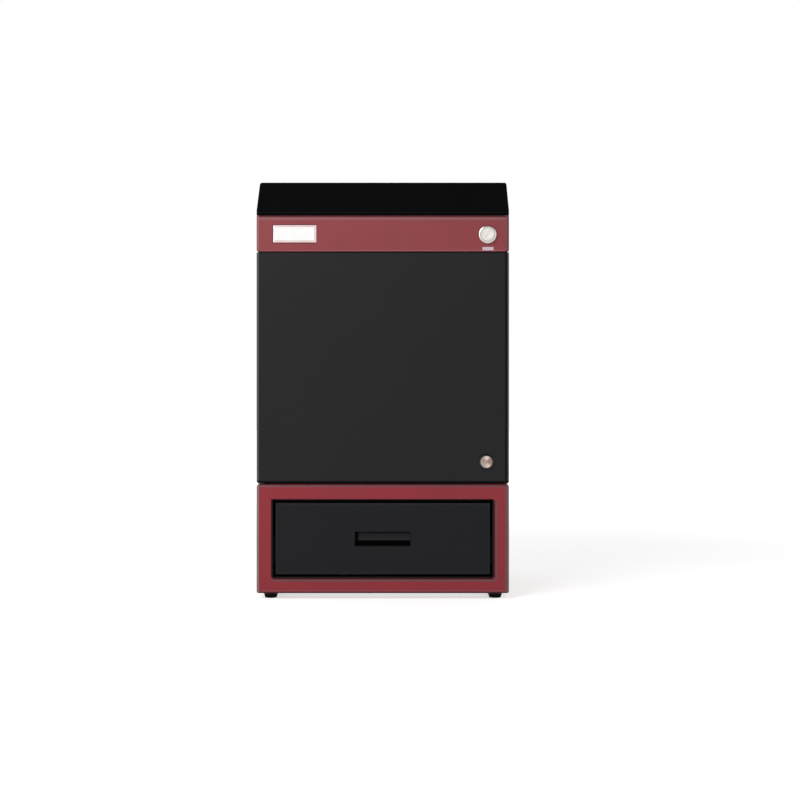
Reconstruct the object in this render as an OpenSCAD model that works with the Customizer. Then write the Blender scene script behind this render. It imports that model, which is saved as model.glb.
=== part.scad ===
// Gel documentation system: a bench darkroom cabinet with a camera in its hood, a full-width
// door in front of the imaging chamber and an ultraviolet transilluminator in a drawer below.
// Frame: origin at the centre of the footprint on the bench, +X right, +Y rear, +Z up, mm.

/* [Cabinet] */
// Outer width of the cabinet
cabinet_w = 430; // [420:1:520]
// Outer depth of the cabinet sheets
cabinet_d = 400; // [396:1:480]
// Thickness of the folded housing sheets
sheet = 1.5; // [1:0.1:2]
// Outer radius of the folded edges
bend_r = 4.5; // [3:0.5:6]
// Height of the rubber feet
foot_h = 10; // [8:1:20]
// Height of the base that holds the drawer
base_h = 185.5; // [182:0.5:230]
// Height of the imaging chamber behind the door
chamber_h = 395.5; // [300:0.5:500]
// Height of the control band above the door
band_h = 63; // [60:1:90]
// Height of the hood
hood_h = 65; // [65:1:110]
// Upright edge under the sloped front of the hood
hood_lip = 4; // [2:1:10]
// How far the hood's sloped front leans back
hood_setback = 75; // [30:1:110]

/* [Door] */
// Thickness of the door
door_t = 20; // [18:1:26]
// Gap between the door and the control band
door_gap_top = 0.8; // [0.5:0.1:3]
// Gap between the door and the base
door_gap_bottom = 3.5; // [1:0.5:6]
// Gap between the back of the door and the door frame
door_gap_rear = 2; // [1.5:0.1:4]
// Radius of the two hinge pins
hinge_pin_r = 3; // [2:0.5:4]
// Width of the frame at each side of the chamber's mouth
jamb_w = 22; // [18:1:40]
// Height of the frame above and below the chamber's mouth
jamb_h = 16; // [14:1:30]

/* [Door lock] */
// Distance of the lock's axis from the door's right edge
lock_inset = 39; // [36:1:60]
// Height of the lock's axis above the door's lower edge
lock_rise = 34.8; // [30:0.1:80]
// Radius of the lock's head
lock_head_r = 13; // [12:0.5:16]
// Radius of the turning face of the lock
lock_face_r = 10; // [8:0.5:11]
// Reach of the cam from the lock's axis
cam_reach = 26; // [20:1:32]

/* [Drawer] */
// Distance from the cabinet's side to the drawer front
drawer_inset = 31.8; // [28:0.1:40]
// Height of the drawer front
drawer_h = 122.5; // [116:0.1:126]
// Height of the drawer front's lower edge above the base's underside
drawer_rise = 31.5; // [30:0.5:38]
// Gap round the drawer front
drawer_gap = 4.4; // [3:0.1:6]
// How far the drawer front lies behind the base's front
drawer_recess = 5.5; // [3:0.5:8]
// Radius of the rolled lips round the drawer opening
lip_r = 3; // [2:0.5:6]
// Width of the recessed pull
pull_w = 95.4; // [70:0.1:140]
// Height of the recessed pull's mouth
pull_h = 23.6; // [20:0.1:34]
// Height of the finger slot under the pull's bar
pull_slot = 9.4; // [8:0.1:12]
// Height of the slide members
slide_h = 45; // [35:1:50]
// Free depth behind the closed slides
rear_space = 54; // [50:1:80]

/* [Transilluminator] */
// Width of the ultraviolet filter glass
uv_glass_w = 270; // [240:1:280]
// Depth of the ultraviolet filter glass
uv_glass_d = 220; // [200:1:226]
// Thickness of the ultraviolet filter glass
uv_glass_t = 4; // [3:0.5:6]
// Number of lamp tubes
tube_count = 6; // [3:1:6]
// Distance between lamp tubes
tube_pitch = 35; // [30:1:36]
// Radius of the lamp tubes' end caps
tube_r = 8; // [6:0.5:8]

/* [Camera and filters] */
// Width of the opening in the chamber's floor
aperture_w = 300; // [280:1:320]
// Depth of the opening in the chamber's floor
aperture_d = 250; // [230:1:270]
// Outer radius of the lens rings
ring_r = 26; // [24:0.5:27]
// Radius of the lens barrel inside the rings
barrel_r = 19; // [17:0.5:21]
// Side of the square camera body
camera_w = 62; // [56:1:64]
// Distance from the filter wheel's axis to the optical axis
wheel_offset = 52; // [50:0.5:56]
// Radius of the glass filters
filter_r = 20; // [16:0.5:20]
// Number of places on the filter wheel
filter_count = 6; // [4:1:6]

/* [Power button] */
// Distance of the button's axis from the cabinet's right side
button_inset = 36.8; // [30:0.1:60]
// Height of the button's axis above the band's lower edge
button_rise = 29.2; // [24:0.1:40]
// Radius of the button's bezel
bezel_r = 15.5; // [14:0.5:17]
// Travel of the button's cap
button_travel = 2; // [1:0.5:2.5]

/* [Hidden] */

$fn = 64;
eps = 0.05;

// Colours
red_paint = "firebrick";
black_paint = [0.06, 0.06, 0.06];
charcoal_paint = [0.2, 0.2, 0.21];
steel = "silver";
dark_plastic = [0.1, 0.1, 0.1];

// Clearances
seat = 0.3;        // between pieces that are seated but not pressed together
shaft_gap = 0.05;  // radial running clearance of shafts, pins and rings
hole_gap = 0.2;    // radial clearance of a screw or a barrel in its hole
slide_gap = 0.15;  // between slide members

// Levels
base_z0 = foot_h;
base_z1 = base_z0 + base_h;
chamber_z1 = base_z1 + chamber_h;
band_z1 = chamber_z1 + band_h;
hood_z1 = band_z1 + hood_h;
half_w = cabinet_w / 2;
half_d = cabinet_d / 2;
front_y = -half_d;
rear_y = half_d;
inner_bend = bend_r - sheet;

// Flanges of the folded housings
floor_flange = 40;
base_top_flange = 30;
band_flange = 20;
frame_flange = 15;

// Door and chamber mouth
door_y1 = front_y + door_t;
door_z0 = base_z1 + door_gap_bottom;
door_z1 = chamber_z1 - door_gap_top;
door_edge_r = sheet;
hinge_x = -half_w + door_t / 2;
hinge_y = front_y + door_t / 2;
hinge_collar_r = hinge_pin_r + 2.5;
chamber_y0 = door_y1 + door_gap_rear;
mouth_x = half_w - jamb_w;
mouth_z0 = base_z1 + jamb_h;
mouth_z1 = chamber_z1 - jamb_h;
panel_x0 = hinge_x + 5;
lock_x = half_w - lock_inset;
lock_z = door_z0 + lock_rise;

// Drawer opening in the base
drawer_w = cabinet_w - 2 * drawer_inset;
drawer_z0 = base_z0 + drawer_rise;
drawer_z1 = drawer_z0 + drawer_h;
drawer_front_y = front_y + drawer_recess;
drawer_depth = 12.5;
drawer_back_y = drawer_front_y + drawer_depth;
bay_x = drawer_w / 2 + drawer_gap;
bay_z0 = drawer_z0 - drawer_gap;
bay_z1 = drawer_z1 + drawer_gap;
bay_tunnel = 15;

// Slides, from the drawer tray outwards
slide_t = 1.2;
slide_w = 13;
slide_z0 = drawer_z0 + 17.5;
slide_y0 = drawer_back_y + 2;
slide_y1 = rear_y - rear_space;
slide_x1 = bay_x - 1;
slide_x0 = slide_x1 - slide_w;
race_t = 2;
bracket_foot = 16;
bracket_top = slide_z0 + slide_h + 7;

// Drawer tray and what it holds
tray_t = 1.2;
tray_x = slide_x0;
tray_z0 = drawer_z0 + 1.5;
tray_z1 = drawer_z1 - 14.4;
tray_y0 = drawer_back_y;
tray_y1 = slide_y1 + 2;
tray_floor = tray_z0 + tray_t;
tube_rise = 62.8;
tube_overhang = 8;
tube_z = tray_floor + tube_rise;
tube_len = uv_glass_w + 2 * tube_overhang;
cap_len = 12;
cap_grip = 5;
holder_t = 12;
holder_rim = 4;
holder_end = 10;
holder_x = tube_len / 2 - cap_grip;
holder_d = tube_pitch * (tube_count - 1) + 2 * (tube_r + holder_end);
reflector_t = 0.8;
reflector_drop = 24;
ridge_h = 12;
reflector_z = tube_z - reflector_drop;
glass_z0 = tray_z1 + 6;
glass_land = 5;
rim_w = 6.7;

// Optical column
deck_t = 2;
deck_z = chamber_z1 + sheet;
deck_top = deck_z + deck_t;
wheel_z = deck_top + 2.5;
wheel_t = 3;
wheel_rim = 3;
wheel_r = wheel_offset + filter_r + wheel_rim;
filter_land = 1.5;
filter_step = 1;
filter_sunk = 0.2;
hub_r = 8;
hub_h = 7;
hub_drop = 1.5;
shaft_r = 2.5;
shaft_len = 16;
bridge_z = wheel_z + 6;
bridge_t = 2;
bridge_w = 46;
motor_w = 42;
motor_h = 34;
light_hole_r = filter_r + 2;
lens_z = deck_top + 9.5;
rim_t = 4;
focus_z = lens_z + rim_t + seat;
focus_h = 13;
collar_t = 3;
zoom_z = focus_z + focus_h + collar_t + 2 * seat;
zoom_h = 14;
iris_z = zoom_z + zoom_h + collar_t + 2 * seat;
iris_h = 7;
neck_z = iris_z + iris_h + seat;
neck_r = 17;
mount_z = neck_z + 6.2;
mount_r = 15.5;
camera_z = mount_z + 5;
camera_h = 44;
fin_h = 7;
lens_bore = 14;
camera_bracket_t = 3;

// Power button
button_x = half_w - button_inset;
button_z = chamber_z1 + button_rise;
button_barrel_r = 11;
button_barrel_len = 18;
button_stem_r = 8;
bezel_t = 5;
cap_r = 11.6;

// Fan in the rear of the hood
fan_w = 60;
fan_t = 25;
fan_inset = 85;
fan_x = -half_w + fan_inset;
fan_z = band_z1 + 1 + fan_w / 2;
fan_y1 = rear_y - sheet - seat;
fan_y0 = fan_y1 - fan_t;
fan_bore_r = 28.5;
fan_screw = 25;
fan_hub_r = 13;
guard_t = 5;
guard_eye_t = 3.4;
wire_r = 0.9;
guard_ring_r = 9;
guard_ring_pitch = 7;
guard_hub_r = 6;
guard_spoke_drop = 1.6;
guard_eye_r = 4.2;

// Rear connectors
inlet_inset = 65;
inlet_rise = 60;
inlet_x = half_w - inlet_inset;
inlet_z = base_z0 + inlet_rise;
usb_inset = 95;
usb_rise = 31;
usb_x = half_w - usb_inset;
usb_z = chamber_z1 + usb_rise;

// Feet and screws
foot_inset_x = 22.5;
foot_inset_y = 30;
foot_x = half_w - foot_inset_x;
foot_y = half_d - foot_inset_y;
foot_r = 14.5;
screw_r = 2;
head_r = 3.8;
head_t = 2.4;

// ---------- shared shapes ----------

// Box between two opposite corners
module block(low, high) {
    translate(low) cube(high - low);
}

// The shape and its mirror image on the other side of the cabinet
module both_sides() {
    children();
    mirror([1, 0, 0]) children();
}

module rounded_rect(size, r) {
    square([size.x - 2 * r, size.y], center = true);
    square([size.x, size.y - 2 * r], center = true);
    for (x = [-1, 1], y = [-1, 1])
        translate([x * (size.x / 2 - r), y * (size.y / 2 - r)]) circle(r);
}

// What rounding a square corner of radius r takes away, the corner at the origin
module corner_waste(r) {
    difference() {
        translate([-eps, -eps]) square(r + eps);
        translate([r, r]) circle(r);
    }
}

// Extrusions along each axis: 2D x and y become Y and Z, X and Z, or X and Y
module along_x(length) {
    rotate([90, 0, 90]) linear_extrude(length, center = true) children();
}

module along_y(y0, y1) {
    translate([0, y1, 0]) rotate([90, 0, 0]) linear_extrude(y1 - y0) children();
}

module along_z(z0, z1) {
    translate([0, 0, z0]) linear_extrude(z1 - z0) children();
}

// Round bar along Y
module bar_y(r, y0, y1) {
    translate([0, y1, 0]) rotate([90, 0, 0]) cylinder(r = r, h = y1 - y0);
}

// Closed box with all its edges rounded, as a folded sheet has them
module folded_box(w, d, z0, z1, r) {
    h = z1 - z0;
    intersection() {
        along_z(z0, z1) rounded_rect([w, d], r);
        translate([0, 0, (z0 + z1) / 2]) along_x(w + 2) rounded_rect([d, h], r);
        translate([0, 0, (z0 + z1) / 2]) along_y(-d / 2 - 1, d / 2 + 1) rounded_rect([w, h], r);
    }
}

module folded_shell(z0, z1) {
    difference() {
        folded_box(cabinet_w, cabinet_d, z0, z1, bend_r);
        folded_box(cabinet_w - 2 * sheet, cabinet_d - 2 * sheet, z0 + sheet, z1 - sheet, inner_bend);
    }
}

// Opening in a floor or roof that leaves a flange of the given width
module flange_opening(flange, z) {
    translate([0, 0, z])
        cube([cabinet_w - 2 * flange, cabinet_d - 2 * flange, 3 * sheet], center = true);
}

// Pan-head screw along -Z with the head's seat at the origin
module screw(length, head_h = head_t) {
    translate([0, 0, -length]) cylinder(r = screw_r, h = length + eps);
    difference() {
        cylinder(r1 = head_r, r2 = head_r - 0.8, h = head_h);
        for (a = [0, 90]) rotate(a) translate([-2.5, -0.5, head_h / 2]) cube([5, 1, head_h]);
    }
}

// ---------- base ----------

// What the rolled lips take away, along the long and the short sides of the opening
module lip_rails(x) {
    for (edge = [0, 1])
        translate([0, 0, edge == 0 ? bay_z0 : bay_z1]) along_x(2 * x)
            translate([front_y, 0]) mirror([0, 1 - edge]) corner_waste(lip_r);
}

module lip_posts(z0, z1) {
    both_sides() along_z(z0, z1) translate([bay_x, front_y]) corner_waste(lip_r);
}

// The lips meet in a mitre at each corner
module bay_lips() {
    lip_rails(bay_x);
    lip_posts(bay_z0, bay_z1);
    intersection() {
        lip_rails(bay_x + lip_r);
        lip_posts(bay_z0 - lip_r, bay_z1 + lip_r);
    }
}

module bay_frame(border, depth) {
    difference() {
        block([-bay_x - border, front_y, bay_z0 - border], [bay_x + border, front_y + depth, bay_z1 + border]);
        block([-bay_x, front_y - 1, bay_z0], [bay_x, front_y + depth + 1, bay_z1]);
    }
}

module foot_places() {
    for (x = [-foot_x, foot_x], y = [-foot_y, foot_y]) translate([x, y, 0]) children();
}

module deck_screw_places() {
    for (x = [-1, 1], y = [-0.55, 0.05, 0.65])
        translate([x * (half_w - sheet - 7.5), y * half_d, 0]) children();
}

vent_slot = [40, 5];
vent_count = 6;

module base_housing() color(red_paint) difference() {
    union() {
        difference() {
            folded_shell(base_z0, base_z1);
            flange_opening(floor_flange, base_z0);
            flange_opening(base_top_flange, base_z1);
            block([-bay_x, front_y - 1, bay_z0], [bay_x, front_y + 2 * bend_r, bay_z1]);
        }
        bay_frame(lip_r, lip_r);
        bay_frame(sheet, bay_tunnel);
    }
    bay_lips();
    foot_places() translate([0, 0, base_z0 - 1]) cylinder(r = screw_r + hole_gap, h = sheet + 2);
    deck_screw_places()
        translate([0, 0, base_z1 - sheet - 1]) cylinder(r = screw_r + hole_gap, h = sheet + 2);
    translate([hinge_x, hinge_y, base_z1 - sheet - 1])
        cylinder(r = hinge_pin_r + shaft_gap, h = sheet + 2);
    translate([inlet_x, 0, inlet_z]) along_y(rear_y - 2 * sheet, rear_y + 1) inlet_cutout();
    for (i = [0 : vent_count - 1])
        translate([-60, 0, base_z0 + 50 + i * 12]) along_y(rear_y - 2 * sheet, rear_y + 1)
            rounded_rect(vent_slot, 0.4 * vent_slot.y);
}

module base_pan() color(steel) difference() {
    along_z(base_z0 + sheet, base_z0 + 2 * sheet)
        rounded_rect([cabinet_w - 2 * bend_r, cabinet_d - 2 * bend_r], bend_r);
    foot_places() translate([0, 0, base_z0]) cylinder(r = screw_r + hole_gap, h = 4 * sheet);
}

// Rubber foot: a flange under the base and a tapered body with a sunk screw seat
foot_flange_t = 2.5;
foot_body_r = 12.2;
foot_tip_r = 10.2;
foot_seat_z = 4;

module feet() color(dark_plastic) foot_places() rotate_extrude() polygon([
    [screw_r + hole_gap, foot_seat_z], [head_r + 1, foot_seat_z], [head_r + 1, 0],
    [foot_tip_r - 0.8, 0], [foot_tip_r, 0.8], [foot_body_r, foot_h - foot_flange_t],
    [foot_r, foot_h - foot_flange_t + 0.6], [foot_r, foot_h], [screw_r + hole_gap, foot_h]
]);

module foot_screws() color(steel)
    foot_places() translate([0, 0, foot_seat_z]) mirror([0, 0, 1])
        screw(foot_h - foot_seat_z + 2 * sheet - hole_gap);

// ---------- drawer slides on the cabinet ----------

module slide_brackets() color(steel) both_sides() {
    block([slide_x1, slide_y0, base_z0 + 2 * sheet], [slide_x1 + sheet, slide_y1, bracket_top]);
    block([slide_x1, slide_y0, base_z0 + 2 * sheet], [slide_x1 + bracket_foot, slide_y1, base_z0 + 3 * sheet]);
}

// C-shaped slide member: web at x1, open towards the drawer, between the given heights
module slide_channel(x0, x1, z0, z1, lip_t, y0, y1) {
    difference() {
        block([x0, y0, z0], [x1, y1, z1]);
        block([x0 - 1, y0 - 1, z0 + lip_t], [x1 - slide_t, y1 + 1, z1 - lip_t]);
    }
}

middle_inset = slide_t + slide_gap;
inner_inset = middle_inset + race_t + slide_gap;

module slide_outers() color(steel) both_sides() slide_channel(
    slide_x0 + 2.5, slide_x1, slide_z0, slide_z0 + slide_h, slide_t, slide_y0, slide_y1);

module slide_middles() color(steel) both_sides() slide_channel(
    slide_x0 + 2.5, slide_x1 - slide_t - 0.2, slide_z0 + middle_inset,
    slide_z0 + slide_h - middle_inset, race_t, slide_y0, slide_y1 - 4);

// The inner member opens away from the drawer
module slide_inners() color(steel) both_sides() translate([slide_x0 + slide_x1, 0, 0])
    mirror([1, 0, 0]) slide_channel(slide_x0 + 4, slide_x1, slide_z0 + inner_inset,
        slide_z0 + slide_h - inner_inset, slide_t, slide_y0, slide_y1 - 4);

// ---------- drawer ----------

front_edge_r = sheet;

module front_edges() {
    for (edge = [0, 1])
        translate([0, 0, edge == 0 ? drawer_z0 : drawer_z1]) along_x(drawer_w + 2)
            translate([drawer_front_y, 0]) mirror([0, edge]) corner_waste(front_edge_r);
    both_sides() along_z(drawer_z0 - 1, drawer_z1 + 1)
        translate([-drawer_w / 2, drawer_front_y]) corner_waste(front_edge_r);
}

pull_z0 = (drawer_z0 + drawer_z1 - pull_h) / 2;
pull_z1 = pull_z0 + pull_h;
pull_wall = 1.5;
pull_depth = drawer_depth - 2;
pull_flange = 5;
pull_side = 0.5;

module drawer_front() color(charcoal_paint) difference() {
    block([-drawer_w / 2, drawer_front_y, drawer_z0], [drawer_w / 2, drawer_back_y, drawer_z1]);
    block([-drawer_w / 2 + sheet, drawer_front_y + sheet, drawer_z0 + sheet],
        [drawer_w / 2 - sheet, drawer_back_y + 1, drawer_z1 - sheet]);
    front_edges();
    block([-pull_w / 2, drawer_front_y - 1, pull_z0], [pull_w / 2, drawer_front_y + 3 * sheet, pull_z1]);
}

// Cup behind the mouth with a sloped bar across it: fingers go into the slot under the bar and
// hook up behind it
bar_t = 1.8;
bar_lean = 3.6;
bar_front = 0.8;

module pull_bar_profile() {
    z0 = pull_z0 + pull_slot;
    foot_y = drawer_front_y + bar_front;
    head_y = drawer_front_y + bar_front + bar_lean;
    polygon([
        [head_y, pull_z1 + eps], [head_y + bar_t, pull_z1 + eps], [foot_y + bar_t, z0],
        [foot_y + bar_t / 2, z0 - bar_t / 2], [foot_y, z0]
    ]);
}

module drawer_pull() color(dark_plastic) {
    y0 = drawer_front_y + sheet + seat;
    y1 = drawer_front_y + pull_depth;
    x1 = pull_w / 2 - pull_side;
    difference() {
        union() {
            block([-x1 - pull_flange, y0, pull_z0 - pull_flange],
                [x1 + pull_flange, y0 + pull_wall, pull_z1 + pull_flange]);
            block([-x1 - pull_wall, y0, pull_z0 - pull_wall], [x1 + pull_wall, y1, pull_z1 + pull_wall]);
        }
        block([-x1, y0 - 1, pull_z0], [x1, y1 - pull_wall, pull_z1]);
    }
    along_x(2 * (x1 + eps)) pull_bar_profile();
}

module drawer_tray() color(steel) difference() {
    block([-tray_x, tray_y0, tray_z0], [tray_x, tray_y1, tray_z1]);
    block([-tray_x + tray_t, tray_y0 + tray_t, tray_floor], [tray_x - tray_t, tray_y1 - tray_t, tray_z1 + 1]);
}

module ballast() color("gainsboro") {
    ballast_w = 220;
    ballast_h = 30;
    block([-ballast_w / 2, tray_y0 + tray_t + 4, tray_floor],
        [ballast_w / 2, -holder_d / 2 - 12, tray_floor + ballast_h]);
}

module lamp_places() {
    for (i = [0 : tube_count - 1])
        translate([0, (i - (tube_count - 1) / 2) * tube_pitch, tube_z]) rotate([0, 90, 0]) children();
}

module lamp_holders() color("white") difference() {
    both_sides() block([holder_x, -holder_d / 2, tray_floor], [holder_x + holder_t, holder_d / 2, tube_z + tube_r + holder_rim]);
    lamp_places() cylinder(r = tube_r + hole_gap, h = tube_len + 2 * seat, center = true);
}

module uv_tubes() color("white") lamp_places()
    cylinder(r = tube_r - 0.3, h = tube_len - 2 * cap_len, center = true);

module tube_caps() color(steel) both_sides() lamp_places()
    translate([0, 0, tube_len / 2 - cap_len]) cylinder(r = tube_r, h = cap_len);

// Folded reflector with a ridge between each two tubes
function reflector_line(shift) = [
    for (i = [0 : 2 * tube_count])
        [(i - tube_count) * tube_pitch / 2, reflector_z + shift + (i % 2 == 0 ? ridge_h : 0)]
];

module lamp_reflector() color("gainsboro") along_x(2 * (holder_x - seat)) polygon(concat(
    reflector_line(0), [for (i = [2 * tube_count : -1 : 0]) reflector_line(reflector_t)[i]]));

module transilluminator_top() color("gainsboro") difference() {
    union() {
        block([-tray_x, tray_y0, tray_z1], [tray_x, tray_y1, tray_z1 + tray_t]);
        block([-uv_glass_w / 2 - rim_w, -uv_glass_d / 2 - rim_w, tray_z1],
            [uv_glass_w / 2 + rim_w, uv_glass_d / 2 + rim_w, glass_z0 + uv_glass_t + 2]);
    }
    translate([0, 0, tray_z1])
        cube([uv_glass_w - 2 * glass_land, uv_glass_d - 2 * glass_land, 40], center = true);
    translate([0, 0, glass_z0 + 20]) cube([uv_glass_w + 2 * seat, uv_glass_d + 2 * seat, 40], center = true);
}

module uv_filter_glass() color([0.15, 0.1, 0.25])
    translate([0, 0, glass_z0 + uv_glass_t / 2]) cube([uv_glass_w, uv_glass_d, uv_glass_t], center = true);

// ---------- imaging chamber ----------

chamber_d = rear_y - chamber_y0;
chamber_mid = (rear_y + chamber_y0) / 2;

module mid_deck() color(black_paint) difference() {
    along_z(base_z1, base_z1 + sheet) translate([0, chamber_mid])
        rounded_rect([cabinet_w - 2 * (sheet + seat), chamber_d - 2 * (sheet + seat)], inner_bend);
    translate([0, 0, base_z1]) cube([aperture_w, aperture_d, 4 * sheet], center = true);
    deck_screw_places() translate([0, 0, base_z1 - 1]) cylinder(r = screw_r + hole_gap, h = sheet + 2);
}

module chamber_plan(inset) {
    translate([0, chamber_mid])
        rounded_rect([cabinet_w - 2 * inset, chamber_d - 2 * inset], bend_r - min(inset, sheet));
}

rear_hatch_w = 330;
rear_hatch_h = 300;
rear_hatch_z = (base_z1 + chamber_z1) / 2;
rear_cover_border = 15;

module rear_screw_places() {
    x = rear_hatch_w / 2 + rear_cover_border / 2;
    z = rear_hatch_h / 2 + rear_cover_border / 2;
    for (p = [[-x, -z], [0, -z], [x, -z], [-x, 0], [x, 0], [-x, z], [0, z], [x, z]])
        translate([p.x, 0, rear_hatch_z + p.y]) children();
}

module chamber_housing() color(charcoal_paint) difference() {
    union() {
        difference() {
            along_z(base_z1, chamber_z1) chamber_plan(0);
            along_z(base_z1 - 1, chamber_z1 + 1) chamber_plan(sheet);
        }
        // flanges over the chamber's floor and under the band
        for (z = [base_z1 + sheet, chamber_z1 - sheet]) difference() {
            along_z(z, z + sheet) chamber_plan(sheet - eps);
            along_z(z - 1, z + sheet + 1) chamber_plan(sheet + frame_flange);
        }
    }
    block([-mouth_x, chamber_y0 - 1, mouth_z0], [mouth_x, chamber_y0 + 2 * sheet, mouth_z1]);
    translate([0, 0, rear_hatch_z]) along_y(rear_y - 2 * sheet, rear_y + 1)
        rounded_rect([rear_hatch_w, rear_hatch_h], 6);
    deck_screw_places() translate([0, 0, base_z1]) cylinder(r = screw_r + hole_gap, h = 4 * sheet);
    rear_screw_places() bar_y(screw_r + hole_gap, rear_y - 2 * sheet, rear_y + 1);
}

module rear_panel() color(charcoal_paint) difference() {
    translate([0, 0, rear_hatch_z]) along_y(rear_y, rear_y + sheet)
        rounded_rect([rear_hatch_w + 2 * rear_cover_border, rear_hatch_h + 2 * rear_cover_border], 4);
    rear_screw_places() bar_y(screw_r + hole_gap, rear_y - 1, rear_y + 2 * sheet);
}

// The screws of the chamber's floor and of the rear panel
module panel_screws() color(steel) {
    deck_screw_places() translate([0, 0, base_z1 + 2 * sheet]) screw(10);
    rear_screw_places() translate([0, rear_y + sheet, 0]) rotate([-90, 0, 0]) screw(8);
}

// White-light bars in the upper corners of the chamber, their faces turned to the floor
epi_len = 240;
epi_w = 38;
epi_h = 42;
epi_top = chamber_z1 - 2 * sheet;
epi_x1 = half_w - sheet - seat;
epi_recess = 3;

module epi_profile() polygon([
    [epi_x1, epi_top], [epi_x1 - epi_w, epi_top], [epi_x1 - epi_w, epi_top - 6],
    [epi_x1 - 6, epi_top - epi_h], [epi_x1, epi_top - epi_h]
]);

// Frame of the slanted face: origin on its upper edge, 2D x along the slope, y into the lamp
epi_slope = [epi_w - 6, -(epi_h - 6)];
epi_slope_len = norm(epi_slope);

module on_epi_slope() {
    translate([epi_x1 - epi_w, epi_top - 6]) rotate(atan2(epi_slope.y, epi_slope.x)) children();
}

module epi_lamps() color(steel) both_sides() along_y(-epi_len / 2, epi_len / 2) difference() {
    epi_profile();
    on_epi_slope() translate([4, -1]) square([epi_slope_len - 8, epi_recess + 1]);
}

module epi_diffusers() color("white") both_sides() along_y(-epi_len / 2 + seat, epi_len / 2 - seat)
    on_epi_slope() translate([4 + seat, seat]) square([epi_slope_len - 8 - 2 * seat, epi_recess - 2 * seat]);

// Magnetic door switch behind the frame, over its magnet on the door
interlock_w = 22;

module interlock_switch() color(dark_plastic)
    block([lock_x - interlock_w, chamber_y0 + sheet, mouth_z1 + 1],
        [lock_x, chamber_y0 + sheet + 12, chamber_z1 - sheet - 1]);

// ---------- control band, hood and camera ----------

module control_band() color(red_paint) difference() {
    folded_shell(chamber_z1, band_z1);
    flange_opening(band_flange, chamber_z1);
    flange_opening(band_flange, band_z1);
    translate([button_x, 0, button_z])
        bar_y(button_barrel_r + hole_gap, front_y - 1, front_y + 2 * sheet);
    translate([hinge_x, hinge_y, chamber_z1 - 1])
        cylinder(r = hinge_pin_r + shaft_gap, h = sheet + 2);
    translate([usb_x, 0, usb_z]) along_y(rear_y - 2 * sheet, rear_y + 1)
        square([usb_w + 2 * hole_gap, usb_h + 2 * hole_gap], center = true);
}

// Side view of the hood, drawn in by an inset: upright lip, sloped front, flat top
hood_run = [hood_setback, hood_h - hood_lip];
hood_top_r = 8;

function hood_slope_y(z, inset) =
    let (unit = hood_run / norm(hood_run))
    front_y + (z - (band_z1 + hood_lip)) * hood_run.x / hood_run.y + inset / unit.y;

module hood_side(inset) {
    y0 = front_y + inset;
    z1 = hood_z1 - inset;
    r = hood_top_r - min(inset, hood_top_r / 2);
    slope = atan2(hood_run.y, hood_run.x);
    tangent = r * tan(slope / 2);
    y_top = hood_slope_y(z1, inset);
    lip_z = band_z1 + hood_lip + (y0 - hood_slope_y(band_z1 + hood_lip, inset)) * tan(slope);
    difference() {
        polygon([
            [y0, band_z1], [y0, lip_z], [y_top, z1], [rear_y - inset, z1], [rear_y - inset, band_z1]
        ]);
        // rounding between the slope and the top
        difference() {
            polygon([
                [y_top - tangent * cos(slope), z1 - tangent * sin(slope)],
                [y_top - r, z1 + r], [y_top + tangent, z1]
            ]);
            translate([y_top + tangent, z1 - r]) circle(r);
        }
    }
}

module hood_solid(inset) {
    intersection() {
        along_z(band_z1, hood_z1)
            rounded_rect([cabinet_w - 2 * inset, cabinet_d - 2 * inset], bend_r - inset);
        along_x(cabinet_w) hood_side(inset);
        translate([0, 0, band_z1 + (hood_h - inset) / 2 - 20]) along_y(front_y, rear_y)
            rounded_rect([cabinet_w - 2 * inset, hood_h - inset + 40], bend_r - inset);
    }
}

module fan_screw_places() {
    for (x = [-fan_screw, fan_screw], z = [-fan_screw, fan_screw])
        translate([fan_x + x, 0, fan_z + z]) children();
}

module hood() color(black_paint) difference() {
    hood_solid(0);
    translate([0, 0, -eps]) hood_solid(sheet);
    translate([fan_x, 0, fan_z]) bar_y(fan_bore_r, rear_y - 2 * sheet, rear_y + 1);
    fan_screw_places() bar_y(screw_r + hole_gap, rear_y - 2 * sheet, rear_y + 1);
}

module camera_deck() color(black_paint) difference() {
    along_z(deck_z, deck_top) rounded_rect([cabinet_w - 2 * bend_r, cabinet_d - 2 * bend_r], bend_r);
    translate([0, 0, deck_z - 1]) cylinder(r = light_hole_r, h = deck_t + 2);
    block([-half_w, front_y, deck_z - 1],
        [hinge_x + hinge_collar_r + hole_gap, hinge_y + hinge_collar_r + hole_gap, deck_top + 1]);
}

module camera_bracket() color(steel) {
    x1 = -camera_w / 2;
    foot = 30;
    block([x1 - camera_bracket_t, -camera_w / 2, deck_top], [x1, camera_w / 2, camera_z + camera_h - 4]);
    block([x1 - foot, -camera_w / 2, deck_top], [x1, camera_w / 2, deck_top + camera_bracket_t]);
}

module camera_body() color(dark_plastic) {
    fins = 8;
    fin_pitch = camera_w / fins;
    along_z(camera_z, camera_z + camera_h) rounded_rect([camera_w, camera_w], 4);
    translate([0, 0, mount_z]) cylinder(r = mount_r, h = camera_z - mount_z + eps);
    for (i = [0 : fins - 1])
        translate([0, (i + 0.5) * fin_pitch - camera_w / 2, camera_z + camera_h + fin_h / 2])
            cube([camera_w - 8, fin_pitch * 0.4, fin_h + 2 * eps], center = true);
}

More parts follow.
